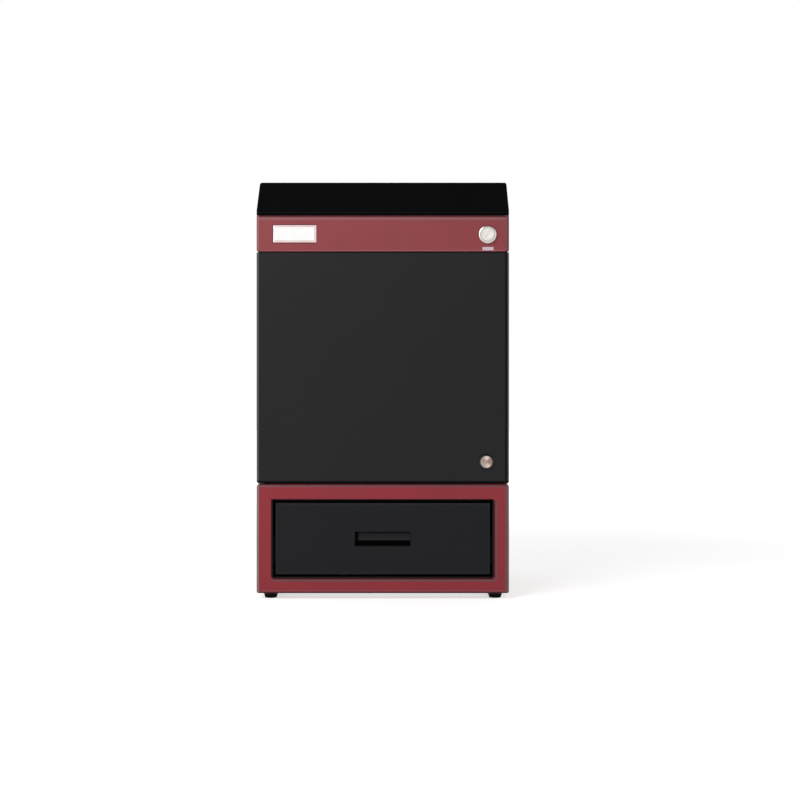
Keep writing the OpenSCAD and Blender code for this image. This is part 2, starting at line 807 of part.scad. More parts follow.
module lens_barrel() color(dark_plastic) difference() {
    union() {
        translate([0, 0, lens_z]) cylinder(r = barrel_r, h = neck_z - lens_z);
        translate([0, 0, lens_z]) cylinder(r = ring_r - 1, h = rim_t);
        translate([0, 0, focus_z + focus_h + seat]) cylinder(r = ring_r - 2, h = collar_t);
        translate([0, 0, zoom_z + zoom_h + seat]) cylinder(r = ring_r - 2, h = collar_t);
        translate([0, 0, neck_z - eps]) cylinder(r = neck_r, h = mount_z - neck_z + eps);
    }
    translate([0, 0, lens_z - 1]) cylinder(r = lens_bore, h = mount_z - lens_z + 2);
    translate([0, 0, lens_z - 1]) cylinder(r = barrel_r - 2, h = rim_t + 1);
}

module lens_glass() color("lightsteelblue")
    translate([0, 0, lens_z + 1]) cylinder(r = barrel_r - 2 - hole_gap, h = rim_t - 1);

// Ring with a finger grip of notches and an optional lever of the given length
module lens_ring(z, h, notches, lever, r = ring_r) {
    difference() {
        translate([0, 0, z]) cylinder(r = r, h = h);
        translate([0, 0, z - 1]) cylinder(r = barrel_r + shaft_gap, h = h + 2);
        for (i = [0 : notches - 1]) rotate(i * 360 / notches)
            translate([r + 0.6, 0, z + 1.5]) cylinder(r = 1.4, h = h - 3, $fn = 16);
    }
    if (lever > 0)
        rotate(-125) translate([r - 2, 0, z + h / 2]) rotate([0, 90, 0]) cylinder(r = 1.8, h = lever + 2);
}

module focus_ring() color(dark_plastic) lens_ring(focus_z, focus_h, 30, 0);
module zoom_ring() color(dark_plastic) lens_ring(zoom_z, zoom_h, 24, 8);
module iris_ring() color(dark_plastic) lens_ring(iris_z, iris_h, 24, 0, ring_r - 2);

// Filter wheel under the lens, hung on the motor's shaft
module wheel_axis() {
    translate([wheel_offset, 0, 0]) children();
}

// Place 0 of the wheel is the one on the optical axis
module filter_places() {
    wheel_axis() for (i = [0 : filter_count - 1])
        rotate(180 + i * 360 / filter_count) translate([wheel_offset, 0, 0]) children();
}

module filter_wheel() color(black_paint) difference() {
    union() {
        wheel_axis() translate([0, 0, wheel_z]) cylinder(r = wheel_r, h = wheel_t);
        wheel_axis() translate([0, 0, wheel_z - hub_drop]) cylinder(r = hub_r, h = hub_h);
        wheel_axis() translate([0, 0, wheel_z]) cylinder(r = shaft_r, h = shaft_len);
    }
    filter_places() translate([0, 0, wheel_z - 1]) cylinder(r = filter_r - filter_land, h = wheel_t + 2);
    filter_places() translate([0, 0, wheel_z + filter_step]) cylinder(r = filter_r + hole_gap, h = wheel_t);
}

module wheel_filters() color("darkorange")
    filter_places() translate([0, 0, wheel_z + filter_step])
        cylinder(r = filter_r, h = wheel_t - filter_step - filter_sunk);

module wheel_bridge() color(steel) difference() {
    leg = wheel_r + 7;
    foot = 12;
    union() {
        wheel_axis() for (side = [-1, 1]) {
            translate([-bridge_w / 2, side > 0 ? leg : -leg - bridge_t, deck_top])
                cube([bridge_w, bridge_t, bridge_z + bridge_t - deck_top]);
            translate([-bridge_w / 2, side > 0 ? leg : -leg - foot, deck_top])
                cube([bridge_w, foot, bridge_t]);
        }
        wheel_axis() translate([-bridge_w / 2, -leg - eps, bridge_z]) cube([bridge_w, 2 * (leg + eps), bridge_t]);
    }
    wheel_axis() translate([0, 0, bridge_z - 1]) cylinder(r = 11 + hole_gap, h = bridge_t + 2);
}

module wheel_motor() color(dark_plastic) difference() {
    union() {
        wheel_axis() along_z(bridge_z + bridge_t, bridge_z + bridge_t + motor_h)
            difference() {
                square(motor_w, center = true);
                for (a = [0 : 90 : 270]) rotate(a)
                    translate([motor_w / 2 + 1, motor_w / 2 + 1]) rotate(45) square(8, center = true);
            }
        wheel_axis() translate([0, 0, bridge_z]) cylinder(r = 11, h = bridge_t + eps);
    }
    wheel_axis() translate([0, 0, bridge_z - 1]) cylinder(r = shaft_r + shaft_gap, h = 16);
}

// ---------- electronics in the band ----------

supply_w = 98;
supply_d = 159;
supply_h = 30;
supply_wall = 15;
supply_rear = 31;
slot_w = 70;
slot_d = 5;
slot_pitch = 13;
board_w = 105;
board_d = 130;
board_t = 1.6;
board_wall = 17;
board_front = 22;
board_lift = 6;
post_inset = 5;
post_r = 3;
post_screw_r = 1.6;
board_corner = [-half_w + board_wall, front_y + board_front, deck_top + board_lift];

module power_supply() color("gainsboro")
    translate([-half_w + supply_wall, rear_y - supply_rear - supply_d, deck_top]) difference() {
        cube([supply_w, supply_d, supply_h]);
        for (i = [-4.5 : 1 : 4.5])
            translate([supply_w / 2, supply_d / 2 + i * slot_pitch, supply_h])
                cube([slot_w, slot_d, 4], center = true);
    }

module board_posts() {
    for (x = [post_inset, board_w - post_inset], y = [post_inset, board_d - post_inset])
        translate([x, y, 0]) children();
}

module control_board() color("darkgreen") translate(board_corner) difference() {
    cube([board_w, board_d, board_t]);
    board_posts() translate([0, 0, -1]) cylinder(r = post_screw_r, h = board_t + 2);
}

// What stands on the board, and the posts that carry it
chip_w = 28;
chip_t = 3;
memory_w = 12;
memory_d = 20;
driver_w = 14;
can_r = 5;
can_h = 14;
can_pitch = 14;
header_w = 10;
header_d = 18;
header_h = 11;
header_pitch = 26;

module board_parts() color(dark_plastic) translate(board_corner) {
    translate([board_w / 2 - chip_w / 2, board_d / 2 - chip_w / 2, board_t]) cube([chip_w, chip_w, chip_t]);
    translate([memory_w, board_d - 2 * memory_d, board_t]) cube([memory_w, memory_d, chip_t]);
    translate([board_w - 2.5 * driver_w, board_d - 2.5 * driver_w, board_t]) cube([driver_w, driver_w, chip_t]);
    for (i = [1 : 4]) translate([i * can_pitch, 2 * can_pitch, board_t]) cylinder(r = can_r, h = can_h);
    for (i = [-1 : 1]) translate([board_w - header_w - 2 * post_r, board_d / 2 + i * header_pitch - header_d / 2, board_t])
        cube([header_w, header_d, header_h]);
    board_posts() translate([0, 0, -board_lift]) cylinder(r = post_r, h = board_lift);
}

module at_button() {
    translate([button_x, 0, button_z]) children();
}

module button_housing() color(steel) at_button() difference() {
    union() {
        bar_y(button_barrel_r, front_y - eps, front_y + button_barrel_len);
        translate([0, front_y, 0]) rotate([90, 0, 0]) rotate_extrude() polygon([
            [0, 0], [bezel_r, 0], [bezel_r, bezel_t - 2], [bezel_r - 0.8, bezel_t - 0.6],
            [bezel_r - 2.2, bezel_t], [0, bezel_t]
        ]);
    }
    bar_y(button_stem_r + shaft_gap, front_y - bezel_t - 1, front_y + 20);
    bar_y(cap_r + shaft_gap, front_y - bezel_t - 1, front_y - 0.5);
}

module button_cap() color("gainsboro") at_button() {
    face = front_y - bezel_t + 0.4;
    translate([0, face, 0]) rotate([-90, 0, 0]) rotate_extrude() polygon([
        [0, 0.5], [cap_r - 3, 0], [cap_r - 0.6, 0], [cap_r, 0.6], [cap_r, 1.6], [0, 1.6]
    ]);
    bar_y(button_stem_r, face + 1.5, front_y + button_barrel_len - button_travel - seat);
}

// Panel nut and contact block behind the band
module switch_body() color(dark_plastic) at_button() {
    difference() {
        along_y(front_y + sheet, front_y + sheet + 5) circle(r = 16, $fn = 6);
        bar_y(button_barrel_r + hole_gap, front_y, front_y + 10);
    }
    block([-14, front_y + button_barrel_len, -14], [14, front_y + button_barrel_len + 24, 14]);
}

// ---------- fan and rear connectors ----------

module at_fan() {
    translate([fan_x, 0, fan_z]) children();
}

module fan_frame() color(dark_plastic) difference() {
    union() {
        difference() {
            at_fan() along_y(fan_y0, fan_y1) rounded_rect([fan_w, fan_w], 4);
            at_fan() bar_y(fan_bore_r, fan_y0 - 1, fan_y1 + 1);
        }
        at_fan() bar_y(fan_hub_r, fan_y0, fan_y0 + 3);
        at_fan() for (a = [0 : 90 : 270]) rotate([0, a + 20, 0])
            translate([fan_hub_r - 1, fan_y0, -2]) cube([fan_bore_r - fan_hub_r + 2, 3, 4]);
    }
    at_fan() bar_y(1.5 + shaft_gap, fan_y0 - 1, fan_y0 + 4);
    fan_screw_places() bar_y(screw_r + hole_gap, fan_y0 - 1, fan_y1 + 1);
}

module fan_rotor() color(dark_plastic) at_fan() {
    y0 = fan_y0 + 3.5;
    y1 = fan_y1 - 1.5;
    blades = 7;
    blade_tip = fan_bore_r - 1;
    bar_y(fan_hub_r, y0, y1);
    bar_y(1.5, fan_y0, y0 + eps);
    intersection() {
        bar_y(blade_tip, y0, y1);
        for (i = [0 : blades - 1]) rotate([0, i * 360 / blades, 0])
            translate([0, (y0 + y1) / 2, 0]) rotate([0, 0, 0]) rotate([40, 0, 0])
                translate([fan_hub_r - 2, -14, -0.6]) cube([blade_tip, 28, 1.2]);
    }
}

module fan_guard() color(steel) at_fan() {
    ring_y = rear_y + guard_t - wire_r;
    for (i = [0 : 3]) translate([0, ring_y, 0]) rotate([90, 0, 0])
        rotate_extrude() translate([guard_ring_r + i * guard_ring_pitch, 0]) circle(wire_r, $fn = 16);
    for (a = [45 : 90 : 315]) rotate([0, a, 0]) {
        translate([guard_hub_r, ring_y - guard_spoke_drop, 0]) rotate([0, 90, 0])
            cylinder(r = wire_r, h = fan_screw * sqrt(2) - guard_hub_r - (guard_eye_r - 1.2), $fn = 16);
        translate([fan_screw * sqrt(2), 0, 0]) difference() {
            bar_y(guard_eye_r, rear_y, rear_y + guard_eye_t);
            bar_y(screw_r + hole_gap, rear_y - 1, rear_y + guard_t);
        }
    }
}

module fan_screws() color(steel) fan_screw_places()
    translate([0, rear_y + guard_eye_t, 0]) rotate([-90, 0, 0]) screw(fan_t, guard_t - guard_eye_t);

usb_w = 12;
usb_h = 11;

module usb_socket() color(steel) translate([usb_x, 0, usb_z]) difference() {
    union() {
        along_y(rear_y - 17, rear_y + 0.5) square([usb_w, usb_h], center = true);
        along_y(rear_y - sheet - 2, rear_y - sheet) square([usb_w + 12, usb_h + 6], center = true);
    }
    along_y(rear_y - 9, rear_y + 1) square([usb_w - 1.6, usb_h - 1.6], center = true);
}

inlet_w = 27;
inlet_h = 20;
inlet_depth = 25;
inlet_flange_w = 50;
inlet_flange_h = 23;
inlet_flange_t = 2.5;
inlet_ear = 20;
pin_pitch = 7;
socket_w = 24;
socket_h = 16.5;
socket_depth = 14;
pin_len = 9;

module inlet_cutout() rounded_rect([inlet_w + 1, inlet_h + 1], 2);

// Appliance inlet: flange with two ears, shrouded socket with three flat pins
module mains_inlet() color(dark_plastic) translate([inlet_x, 0, inlet_z]) {
    difference() {
        union() {
            along_y(rear_y - inlet_depth, rear_y + eps) rounded_rect([inlet_w, inlet_h], 2);
            along_y(rear_y, rear_y + inlet_flange_t) rounded_rect([inlet_flange_w, inlet_flange_h], 4);
        }
        along_y(rear_y - socket_depth, rear_y + inlet_flange_t + 1) inlet_socket();
        for (x = [-inlet_ear, inlet_ear]) translate([x, 0, 0]) bar_y(1.7, rear_y - 1, rear_y + inlet_flange_t + 1);
    }
    for (x = [-pin_pitch, 0, pin_pitch])
        translate([x - 1, rear_y - socket_depth - eps, x == 0 ? 0 : -4]) cube([2, pin_len, 4]);
}

module inlet_socket() difference() {
    square([socket_w, socket_h], center = true);
    for (side = [-1, 1]) translate([side * socket_w / 2, socket_h / 2]) rotate(45) square(7, center = true);
}

// ---------- door ----------

// Plan outline of the door, drawn in by an inset; the hinge edge is round about the pins
module door_plan(inset) {
    x0 = -half_w + inset;
    x1 = half_w - inset;
    y0 = front_y + inset;
    y1 = door_y1 - inset;
    difference() {
        translate([x0, y0]) square([x1 - x0, y1 - y0]);
        translate([x0, y0]) corner_waste(bend_r - inset);
        translate([x1, y0]) mirror([1, 0]) corner_waste(bend_r - inset);
        translate([x0, y1]) mirror([0, 1]) corner_waste(door_t / 2 - inset);
        translate([x1, y1]) rotate(180) corner_waste(2 - inset);
    }
}

bush_r = 5;
bush_flange_r = 8;
bush_h = 9;

module hinge_ends() {
    translate([hinge_x, hinge_y, door_z0]) children();
    translate([hinge_x, hinge_y, door_z1]) mirror([0, 0, 1]) children();
}

module door_skin() color(charcoal_paint) difference() {
    along_z(door_z0, door_z1) door_plan(0);
    along_z(door_z0 + sheet, door_z1 - sheet) door_plan(sheet);
    block([panel_x0 - seat, door_y1 - 2 * sheet, door_z0 + sheet], [half_w - sheet, door_y1 + 1, door_z1 - sheet]);
    for (edge = [0, 1])
        translate([0, 0, edge == 0 ? door_z0 : door_z1]) along_x(cabinet_w + 2)
            translate([front_y, 0]) mirror([0, edge]) corner_waste(door_edge_r);
    hinge_ends() translate([0, 0, -1]) cylinder(r = bush_r + shaft_gap, h = sheet + 2);
    translate([lock_x, 0, lock_z]) bar_y(lock_barrel_r + hole_gap, front_y - 1, front_y + 2 * sheet);
}

module door_inner_panel() color(black_paint) difference() {
    x1 = half_w - sheet - seat;
    z0 = door_z0 + sheet + seat;
    z1 = door_z1 - sheet - seat;
    hem = 8;
    union() {
        block([panel_x0, door_y1 - sheet, z0], [x1, door_y1, z1]);
        for (z = [z0, z1 - sheet])
            block([-half_w + 30, door_y1 - sheet - hem, z], [half_w - 30, door_y1 - sheet + eps, z + sheet]);
    }
    translate([lock_x, 0, lock_z]) bar_y(lock_barrel_r + 0.5, door_y1 - 3 * sheet, door_y1 + 1);
}

gasket_w = 5;

module door_gasket() color(dark_plastic) {
    y0 = door_y1;
    y1 = chamber_y0 - seat;
    out = gasket_w + 1;
    difference() {
        block([-mouth_x - out, y0, mouth_z0 - out], [mouth_x + out, y1, mouth_z1 + out]);
        block([-mouth_x - 1, y0 - 1, mouth_z0 - 1], [mouth_x + 1, y1 + 1, mouth_z1 + 1]);
    }
}

module interlock_magnet() color(dark_plastic)
    block([lock_x - interlock_w, door_y1, mouth_z1 - 14], [lock_x, door_y1 + 8, mouth_z1 - 4]);

// Two pins on one axis: the lower one has a shoulder under the door
module hinge_pins() color(steel) {
    translate([hinge_x, hinge_y, base_z1 - sheet - 4]) {
        cylinder(r = hinge_pin_r, h = sheet + 4 + door_gap_bottom + bush_h - 1);
        cylinder(r = hinge_collar_r, h = 4);
        translate([0, 0, 4 + sheet]) cylinder(r = hinge_collar_r, h = door_gap_bottom - seat);
    }
    translate([hinge_x, hinge_y, door_z1 - bush_h + 1]) {
        cylinder(r = hinge_pin_r, h = bush_h - 1 + door_gap_top + sheet + 4);
        translate([0, 0, bush_h - 1 + door_gap_top + sheet]) cylinder(r = hinge_collar_r, h = 4);
    }
}

module hinge_bushes() color("goldenrod") hinge_ends() difference() {
    union() {
        cylinder(r = bush_r, h = bush_h);
        translate([0, 0, sheet]) cylinder(r = bush_flange_r, h = 1.5);
    }
    translate([0, 0, -1]) cylinder(r = hinge_pin_r + shaft_gap, h = bush_h + 2);
}

// ---------- door lock ----------

lock_barrel_r = 9.5;
plug_r = 7;
plug_stub_r = 4;
lock_head_t = 3.8;
face_t = 2.5;
face_proud = 0.7;
cam_gap = 1;
cam_y = chamber_y0 + sheet + cam_gap;
cam_t = 2;
cam_w = 14;
barrel_end = door_y1 + 1.5;

module at_lock() {
    translate([lock_x, 0, lock_z]) children();
}

// Barrel with its head ring, and the nut behind the door's front sheet
module lock_barrel() color(steel) at_lock() {
    face_back = front_y - lock_head_t - face_proud + face_t;
    difference() {
        union() {
            bar_y(lock_barrel_r, front_y - eps, barrel_end);
            translate([0, front_y, 0]) rotate([90, 0, 0]) rotate_extrude() polygon([
                [0, 0], [lock_head_r, 0], [lock_head_r, lock_head_t - 1.2],
                [lock_head_r - 1.2, lock_head_t], [0, lock_head_t]
            ]);
        }
        bar_y(plug_r + shaft_gap, front_y - 10, barrel_end + 1);
        bar_y(lock_face_r + shaft_gap, front_y - 10, face_back + 0.1);
    }
    difference() {
        along_y(front_y + sheet, front_y + sheet + 4) circle(r = 13, $fn = 6);
        bar_y(lock_barrel_r + hole_gap, front_y, front_y + 10);
    }
}

module lock_plug() color(steel) at_lock() difference() {
    face_y = front_y - lock_head_t - face_proud;
    union() {
        bar_y(lock_face_r, face_y, face_y + face_t);
        bar_y(plug_r, face_y + 1, cam_y);
        bar_y(plug_stub_r, cam_y - eps, cam_y + cam_t + 4);
    }
    block([-0.9, face_y - 1, -4], [0.9, face_y + 6, 4]);
}

// Cam plate and its nut: the cam stands upright when unlocked
module lock_cam() color(steel) at_lock() {
    difference() {
        along_y(cam_y, cam_y + cam_t) {
            circle(cam_w / 2);
            translate([-cam_w / 2, 0]) square([cam_w, cam_reach - cam_w / 2]);
            translate([0, cam_reach - cam_w / 2]) circle(cam_w / 2);
        }
        bar_y(plug_stub_r + shaft_gap, cam_y - 1, cam_y + cam_t + 1);
    }
    difference() {
        along_y(cam_y + cam_t, cam_y + cam_t + 3.5) circle(r = 7.5, $fn = 6);
        bar_y(plug_stub_r + shaft_gap, cam_y, cam_y + 10);
    }
}

base_housing();
base_pan();
feet();
foot_screws();
mid_deck();
chamber_housing();
rear_panel();
panel_screws();
hinge_pins();
epi_lamps();
epi_diffusers();
interlock_switch();
camera_deck();
control_band();
hood();
camera_bracket();
camera_body();
lens_barrel();
lens_glass();
wheel_bridge();
wheel_motor();
power_supply();
control_board();
board_parts();
button_housing();
switch_body();
fan_frame();
fan_guard();
fan_screws();
usb_socket();
mains_inlet();
slide_brackets();
slide_outers();
fan_rotor();
filter_wheel();
wheel_filters();
focus_ring();
zoom_ring();
iris_ring();
button_cap();
slide_middles();
slide_inners();
drawer_front();
drawer_pull();
drawer_tray();
transilluminator_top();
uv_filter_glass();
uv_tubes();
tube_caps();
lamp_holders();
lamp_reflector();
ballast();
door_skin();
door_inner_panel();
door_gasket();
interlock_magnet();
hinge_bushes();
lock_barrel();
lock_plug();
lock_cam();
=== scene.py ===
# Gel documentation system: finishes, plates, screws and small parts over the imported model.
# Everything is in metres, in the model's own frame: +X right, +Y rear, +Z up, bench at 0.
import math

import bmesh
import bpy
from mathutils import Matrix, Vector


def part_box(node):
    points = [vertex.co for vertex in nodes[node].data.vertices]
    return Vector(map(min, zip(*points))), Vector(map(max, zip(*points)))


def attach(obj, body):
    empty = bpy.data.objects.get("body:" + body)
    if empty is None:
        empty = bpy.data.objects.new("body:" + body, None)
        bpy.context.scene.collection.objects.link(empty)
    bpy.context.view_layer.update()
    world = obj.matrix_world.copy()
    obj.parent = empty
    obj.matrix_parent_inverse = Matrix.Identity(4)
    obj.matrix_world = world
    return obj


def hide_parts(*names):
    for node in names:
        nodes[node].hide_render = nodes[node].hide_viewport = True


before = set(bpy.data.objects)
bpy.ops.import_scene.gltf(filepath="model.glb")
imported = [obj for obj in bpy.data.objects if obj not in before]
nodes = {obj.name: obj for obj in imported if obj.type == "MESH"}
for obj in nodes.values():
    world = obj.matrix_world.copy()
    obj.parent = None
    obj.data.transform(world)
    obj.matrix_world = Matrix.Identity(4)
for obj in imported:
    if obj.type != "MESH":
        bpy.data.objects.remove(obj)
scene = bpy.context.scene
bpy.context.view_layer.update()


# ---------- camera ----------
# It stands level with the lower part of the door and a long way in front, so that the sides
# of the cabinet don't show and its edges stay upright.
front_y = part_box("control_band")[0][1]
rear_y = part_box("control_band")[1][1]
image_px = 800
focal_px = 1620.0
sensor_mm = 36.0
camera_distance = 2.755
camera_height = 0.339
camera_shift_right = 0.0293

camera_data = bpy.data.cameras.new("camera")
camera_data.sensor_width = sensor_mm
camera_data.lens = focal_px * sensor_mm / image_px
camera = bpy.data.objects.new("camera", camera_data)
camera.location = (camera_shift_right, front_y - camera_distance, camera_height)
camera.rotation_euler = (math.radians(90), 0, 0)
scene.collection.objects.link(camera)
scene.camera = camera
scene.view_settings.view_transform = "Standard"


# ---------- bench, backdrop and lamps ----------
# A white sweep of paper under and behind the cabinet. The sky is white near the horizon and
# nearly black overhead, as in a studio with a dark ceiling.
def chain(tree, kind, inputs=None, **settings):
    """Adds a node, sets its own settings, and links or sets its named or numbered inputs."""
    node = tree.nodes.new(kind)
    for setting, value in settings.items():
        setattr(node, setting, value)
    for key, value in (inputs or {}).items():
        socket = node.inputs[key]
        if isinstance(value, bpy.types.NodeSocket):
            tree.links.new(value, socket)
        else:
            socket.default_value = value
    return node


def calculate(tree, operation, *values):
    """The result of one sum on these values, each a number or a socket."""
    return chain(tree, "ShaderNodeMath", dict(enumerate(values)), operation=operation).outputs[0]


def colour_ramp(tree, source, stops):
    """The colours of (position, colour) stops, as the source goes past each position."""
    ramp = chain(tree, "ShaderNodeValToRGB", {"Fac": source})
    elements = ramp.color_ramp.elements
    for step, (position, colour) in enumerate(stops):
        stop = elements[step] if step < 2 else elements.new(position)
        stop.position = position
        stop.color = (*colour, 1)
    return ramp


sky = bpy.data.worlds.new("studio")
scene.world = sky
sky.use_nodes = True
sky_tree = sky.node_tree
sky_direction = chain(sky_tree, "ShaderNodeTexCoord")
sky_height = chain(sky_tree, "ShaderNodeSeparateXYZ", {0: sky_direction.outputs["Generated"]})
sky_ramp = colour_ramp(sky_tree, sky_height.outputs["Z"],
                       ((0.36, (1, 1, 1)), (0.74, (0.05, 0.05, 0.052))))
sky_tree.links.new(sky_ramp.outputs["Color"], sky_tree.nodes["Background"].inputs["Color"])

floor_half = 15.0
near_glow, far_glow = 0.6, 0.85
near_reach, far_reach = 0.9, 3.0
paper_mesh = bpy.data.meshes.new("floor")
paper_corners = [(x * floor_half, y * floor_half, 0)
                 for x, y in ((-1, -1), (1, -1), (1, 1), (-1, 1))]
paper_mesh.from_pydata(paper_corners, [], [(0, 1, 2, 3)])
floor = bpy.data.objects.new("floor", paper_mesh)
scene.collection.objects.link(floor)
paper = bpy.data.materials.new("white_paper")
paper.use_nodes = True
paper_tree = paper.node_tree
paper_shader = paper_tree.nodes["Principled BSDF"]
paper_shader.inputs["Base Color"].default_value = (0.82, 0.82, 0.82, 1)
paper_shader.inputs["Roughness"].default_value = 0.55
paper_shader.inputs["Specular IOR Level"].default_value = 0.2
seen_by = chain(paper_tree, "ShaderNodeLightPath")
camera_or_gloss = calculate(paper_tree, "MAXIMUM",
                            seen_by.outputs["Is Camera Ray"], seen_by.outputs["Is Glossy Ray"])
any_view = calculate(paper_tree, "MAXIMUM",
                     camera_or_gloss, seen_by.outputs["Is Transmission Ray"])
paper_place = chain(paper_tree, "ShaderNodeTexCoord")
from_cabinet = chain(paper_tree, "ShaderNodeVectorMath", {0: paper_place.outputs["Object"]},
                     operation="LENGTH")
glow = chain(paper_tree, "ShaderNodeMapRange", {
    "Value": from_cabinet.outputs["Value"], "From Min": near_reach, "From Max": far_reach,
    "To Min": near_glow, "To Max": far_glow}, interpolation_type="SMOOTHSTEP")
paper_light = chain(paper_tree, "ShaderNodeEmission", {
    "Color": (1, 1, 1, 1),
    "Strength": calculate(paper_tree, "MULTIPLY", any_view, glow.outputs["Result"])})
paper_sum = chain(paper_tree, "ShaderNodeAddShader", {
    0: paper_shader.outputs[0], 1: paper_light.outputs[0]})
paper_tree.links.new(paper_sum.outputs[0], paper_tree.nodes["Material Output"].inputs["Surface"])
floor.data.materials.append(paper)

lamps = (
    ("key_lamp", (-0.8, -1.9, 1.7), (0.0, 0.0, 0.42), (0.9, 0.9), 20),
    ("left_lamp", (-1.8, -1.6, 1.0), (0.0, 0.0, 0.4), (1.0, 1.4), 13),
    ("right_lamp", (1.8, -2.2, 1.2), (0.0, 0.0, 0.4), (1.4, 1.2), 3),
)
for name, place, target, size, watts in lamps:
    lamp_data = bpy.data.lights.new(name, "AREA")
    lamp_data.shape = "RECTANGLE"
    lamp_data.size, lamp_data.size_y = size
    lamp_data.energy = watts
    lamp = bpy.data.objects.new(name, lamp_data)
    lamp.location = place
    lamp.rotation_euler = (Vector(target) - Vector(place)).to_track_quat("-Z", "Y").to_euler()
    scene.collection.objects.link(lamp)


# ---------- base cabinet ----------
# A folded steel box, open at the front for the drawer, with a sprayed wine-red satin coat:
# a fine orange peel, slow changes of tone and a few specks of dust under the lacquer. Pale
# and grey lines on its front bends are painted highlights, dark lines are painted shade.
def on_the_piece(tree, stretch=(1, 1, 1), centre=(0, 0, 0)):
    """Object coordinates, moved so that the centre is at the origin and then stretched."""
    coords = chain(tree, "ShaderNodeTexCoord")
    return chain(tree, "ShaderNodeMapping", {
        "Vector": coords.outputs["Object"], "Scale": stretch,
        "Location": [-c * s for c, s in zip(centre, stretch)]}).outputs["Vector"]


def cloudy(tree, scale, detail=2.0, stretch=(1, 1, 1)):
    """Soft patches about 1/scale metres across."""
    return chain(tree, "ShaderNodeTexNoise", {
        "Vector": on_the_piece(tree, stretch), "Scale": scale, "Detail": detail}).outputs["Fac"]


def specks(tree, spacing, radius):
    """1 inside round specks of that radius, spread about one per spacing."""
    cells = chain(tree, "ShaderNodeTexVoronoi", {
        "Vector": on_the_piece(tree), "Scale": 1 / spacing})
    return calculate(tree, "LESS_THAN", cells.outputs["Distance"], radius / spacing)


def vary_roughness(tree, source, shader, low, high, source_low=0.3, source_high=0.7):
    """Drives the roughness from low to high as the source goes over its own range."""
    span = chain(tree, "ShaderNodeMapRange", {
        "Value": source, "From Min": source_low, "From Max": source_high,
        "To Min": low, "To Max": high})
    tree.links.new(span.outputs["Result"], shader.inputs["Roughness"])
    return span.outputs["Result"]


def vary_colour(tree, source, shader, dark, light, source_low=0.3, source_high=0.7):
    """Drives the colour from dark to light as the source goes over its own range."""
    ramp = colour_ramp(tree, source, ((source_low, dark), (source_high, light)))
    tree.links.new(ramp.outputs["Color"], shader.inputs["Base Color"])
    return ramp.outputs["Color"]


def raise_by(tree, shader, source, depth, strength=1.0, under=None):
    """Raises the surface by depth where the source is 1; under is an earlier bump's normal."""
    relief = chain(tree, "ShaderNodeBump", {
        "Height": source, "Strength": strength, "Distance": depth})
    if under is not None:
        tree.links.new(under, relief.inputs["Normal"])
    tree.links.new(relief.outputs["Normal"], shader.inputs["Normal"])
    return relief.outputs["Normal"]


def times(colour, factor):
    return tuple(min(1.0, part * factor) for part in colour)


def new_finish(name, colour, roughness, metallic=0.0, specular=0.5):
    finish = bpy.data.materials.new(name)
    finish.use_nodes = True
    shader = finish.node_tree.nodes["Principled BSDF"]
    shader.inputs["Base Color"].default_value = (*colour, 1)
    shader.inputs["Roughness"].default_value = roughness
    shader.inputs["Metallic"].default_value = metallic
    shader.inputs["Specular IOR Level"].default_value = specular
    return finish, finish.node_tree, shader


def axes_of(tree, centre=(0, 0, 0)):
    """Object coordinates measured from the centre, with X, Y and Z apart."""
    return chain(tree, "ShaderNodeSeparateXYZ", {0: on_the_piece(tree, centre=centre)})


def strip(tree, place, axis, middle, half_width, other, low, high):
    """1 along a straight line at middle on one axis, from low to high on the other, else 0."""
    distance = calculate(tree, "ABSOLUTE",
                         calculate(tree, "SUBTRACT", place.outputs[axis], middle))
    line = chain(tree, "ShaderNodeMapRange", {
        "Value": distance, "From Min": half_width, "From Max": half_width * 0.3},
        interpolation_type="SMOOTHSTEP")
    reach = calculate(tree, "COMPARE", place.outputs[other], (low + high) / 2, (high - low) / 2)
    return calculate(tree, "MULTIPLY", line.outputs["Result"], reach)


def laid_over(tree, under, mask, colour):
    """The colour where the mask is 1, and what lies under it where the mask is 0."""
    return chain(tree, "ShaderNodeMix", {0: mask, 6: under, 7: (*colour, 1)},
                 data_type="RGBA").outputs[2]


def sprayed_coat(name, colour, roughness, specular, peel=0.00002, unevenness=0.06, light_and_shade_lines=()):
    """Satin lacquer, with painted light on its bends: pale lines are painted highlights, dark
    lines are painted shade and are made rough too. Each line is (axis, middle, half width, other
    axis, low, high, colour)."""
    finish, tree, shader = new_finish(name, colour, roughness, specular=specular)
    coat = vary_colour(tree, cloudy(tree, 9, 3), shader,
                       times(colour, 1 - unevenness), times(colour, 1 + unevenness))
    haze = vary_roughness(tree, cloudy(tree, 40, 4), shader, roughness - 0.015, roughness + 0.02)
    dust = specks(tree, spacing=0.021, radius=0.00035)
    coat = laid_over(tree, coat, dust, times(colour, 1.25))
    place = axes_of(tree) if light_and_shade_lines else None
    # Each line lays a painted highlight or painted shade over the coat; the dark ones are also
    # made rough.
    for *line, painted_light_colour in light_and_shade_lines:
        mask = strip(tree, place, *line)
        coat = laid_over(tree, coat, mask, painted_light_colour)
        if sum(painted_light_colour) < 0.4 * sum(colour):
            haze = laid_over(tree, haze, mask, (1, 1, 1))
    tree.links.new(coat, shader.inputs["Base Color"])
    tree.links.new(haze, shader.inputs["Roughness"])
    raise_by(tree, shader, cloudy(tree, 900, 1), peel, 0.35)
    return finish


def front_of(low, depth=0.003):
    """The terms of a bend that shows on the front only, as far back as the depth."""
    return "Y", low[1] - 0.001, low[1] + depth


def dress(finish, *names):
    for name in names:
        nodes[name].data.materials.clear()
        nodes[name].data.materials.append(finish)


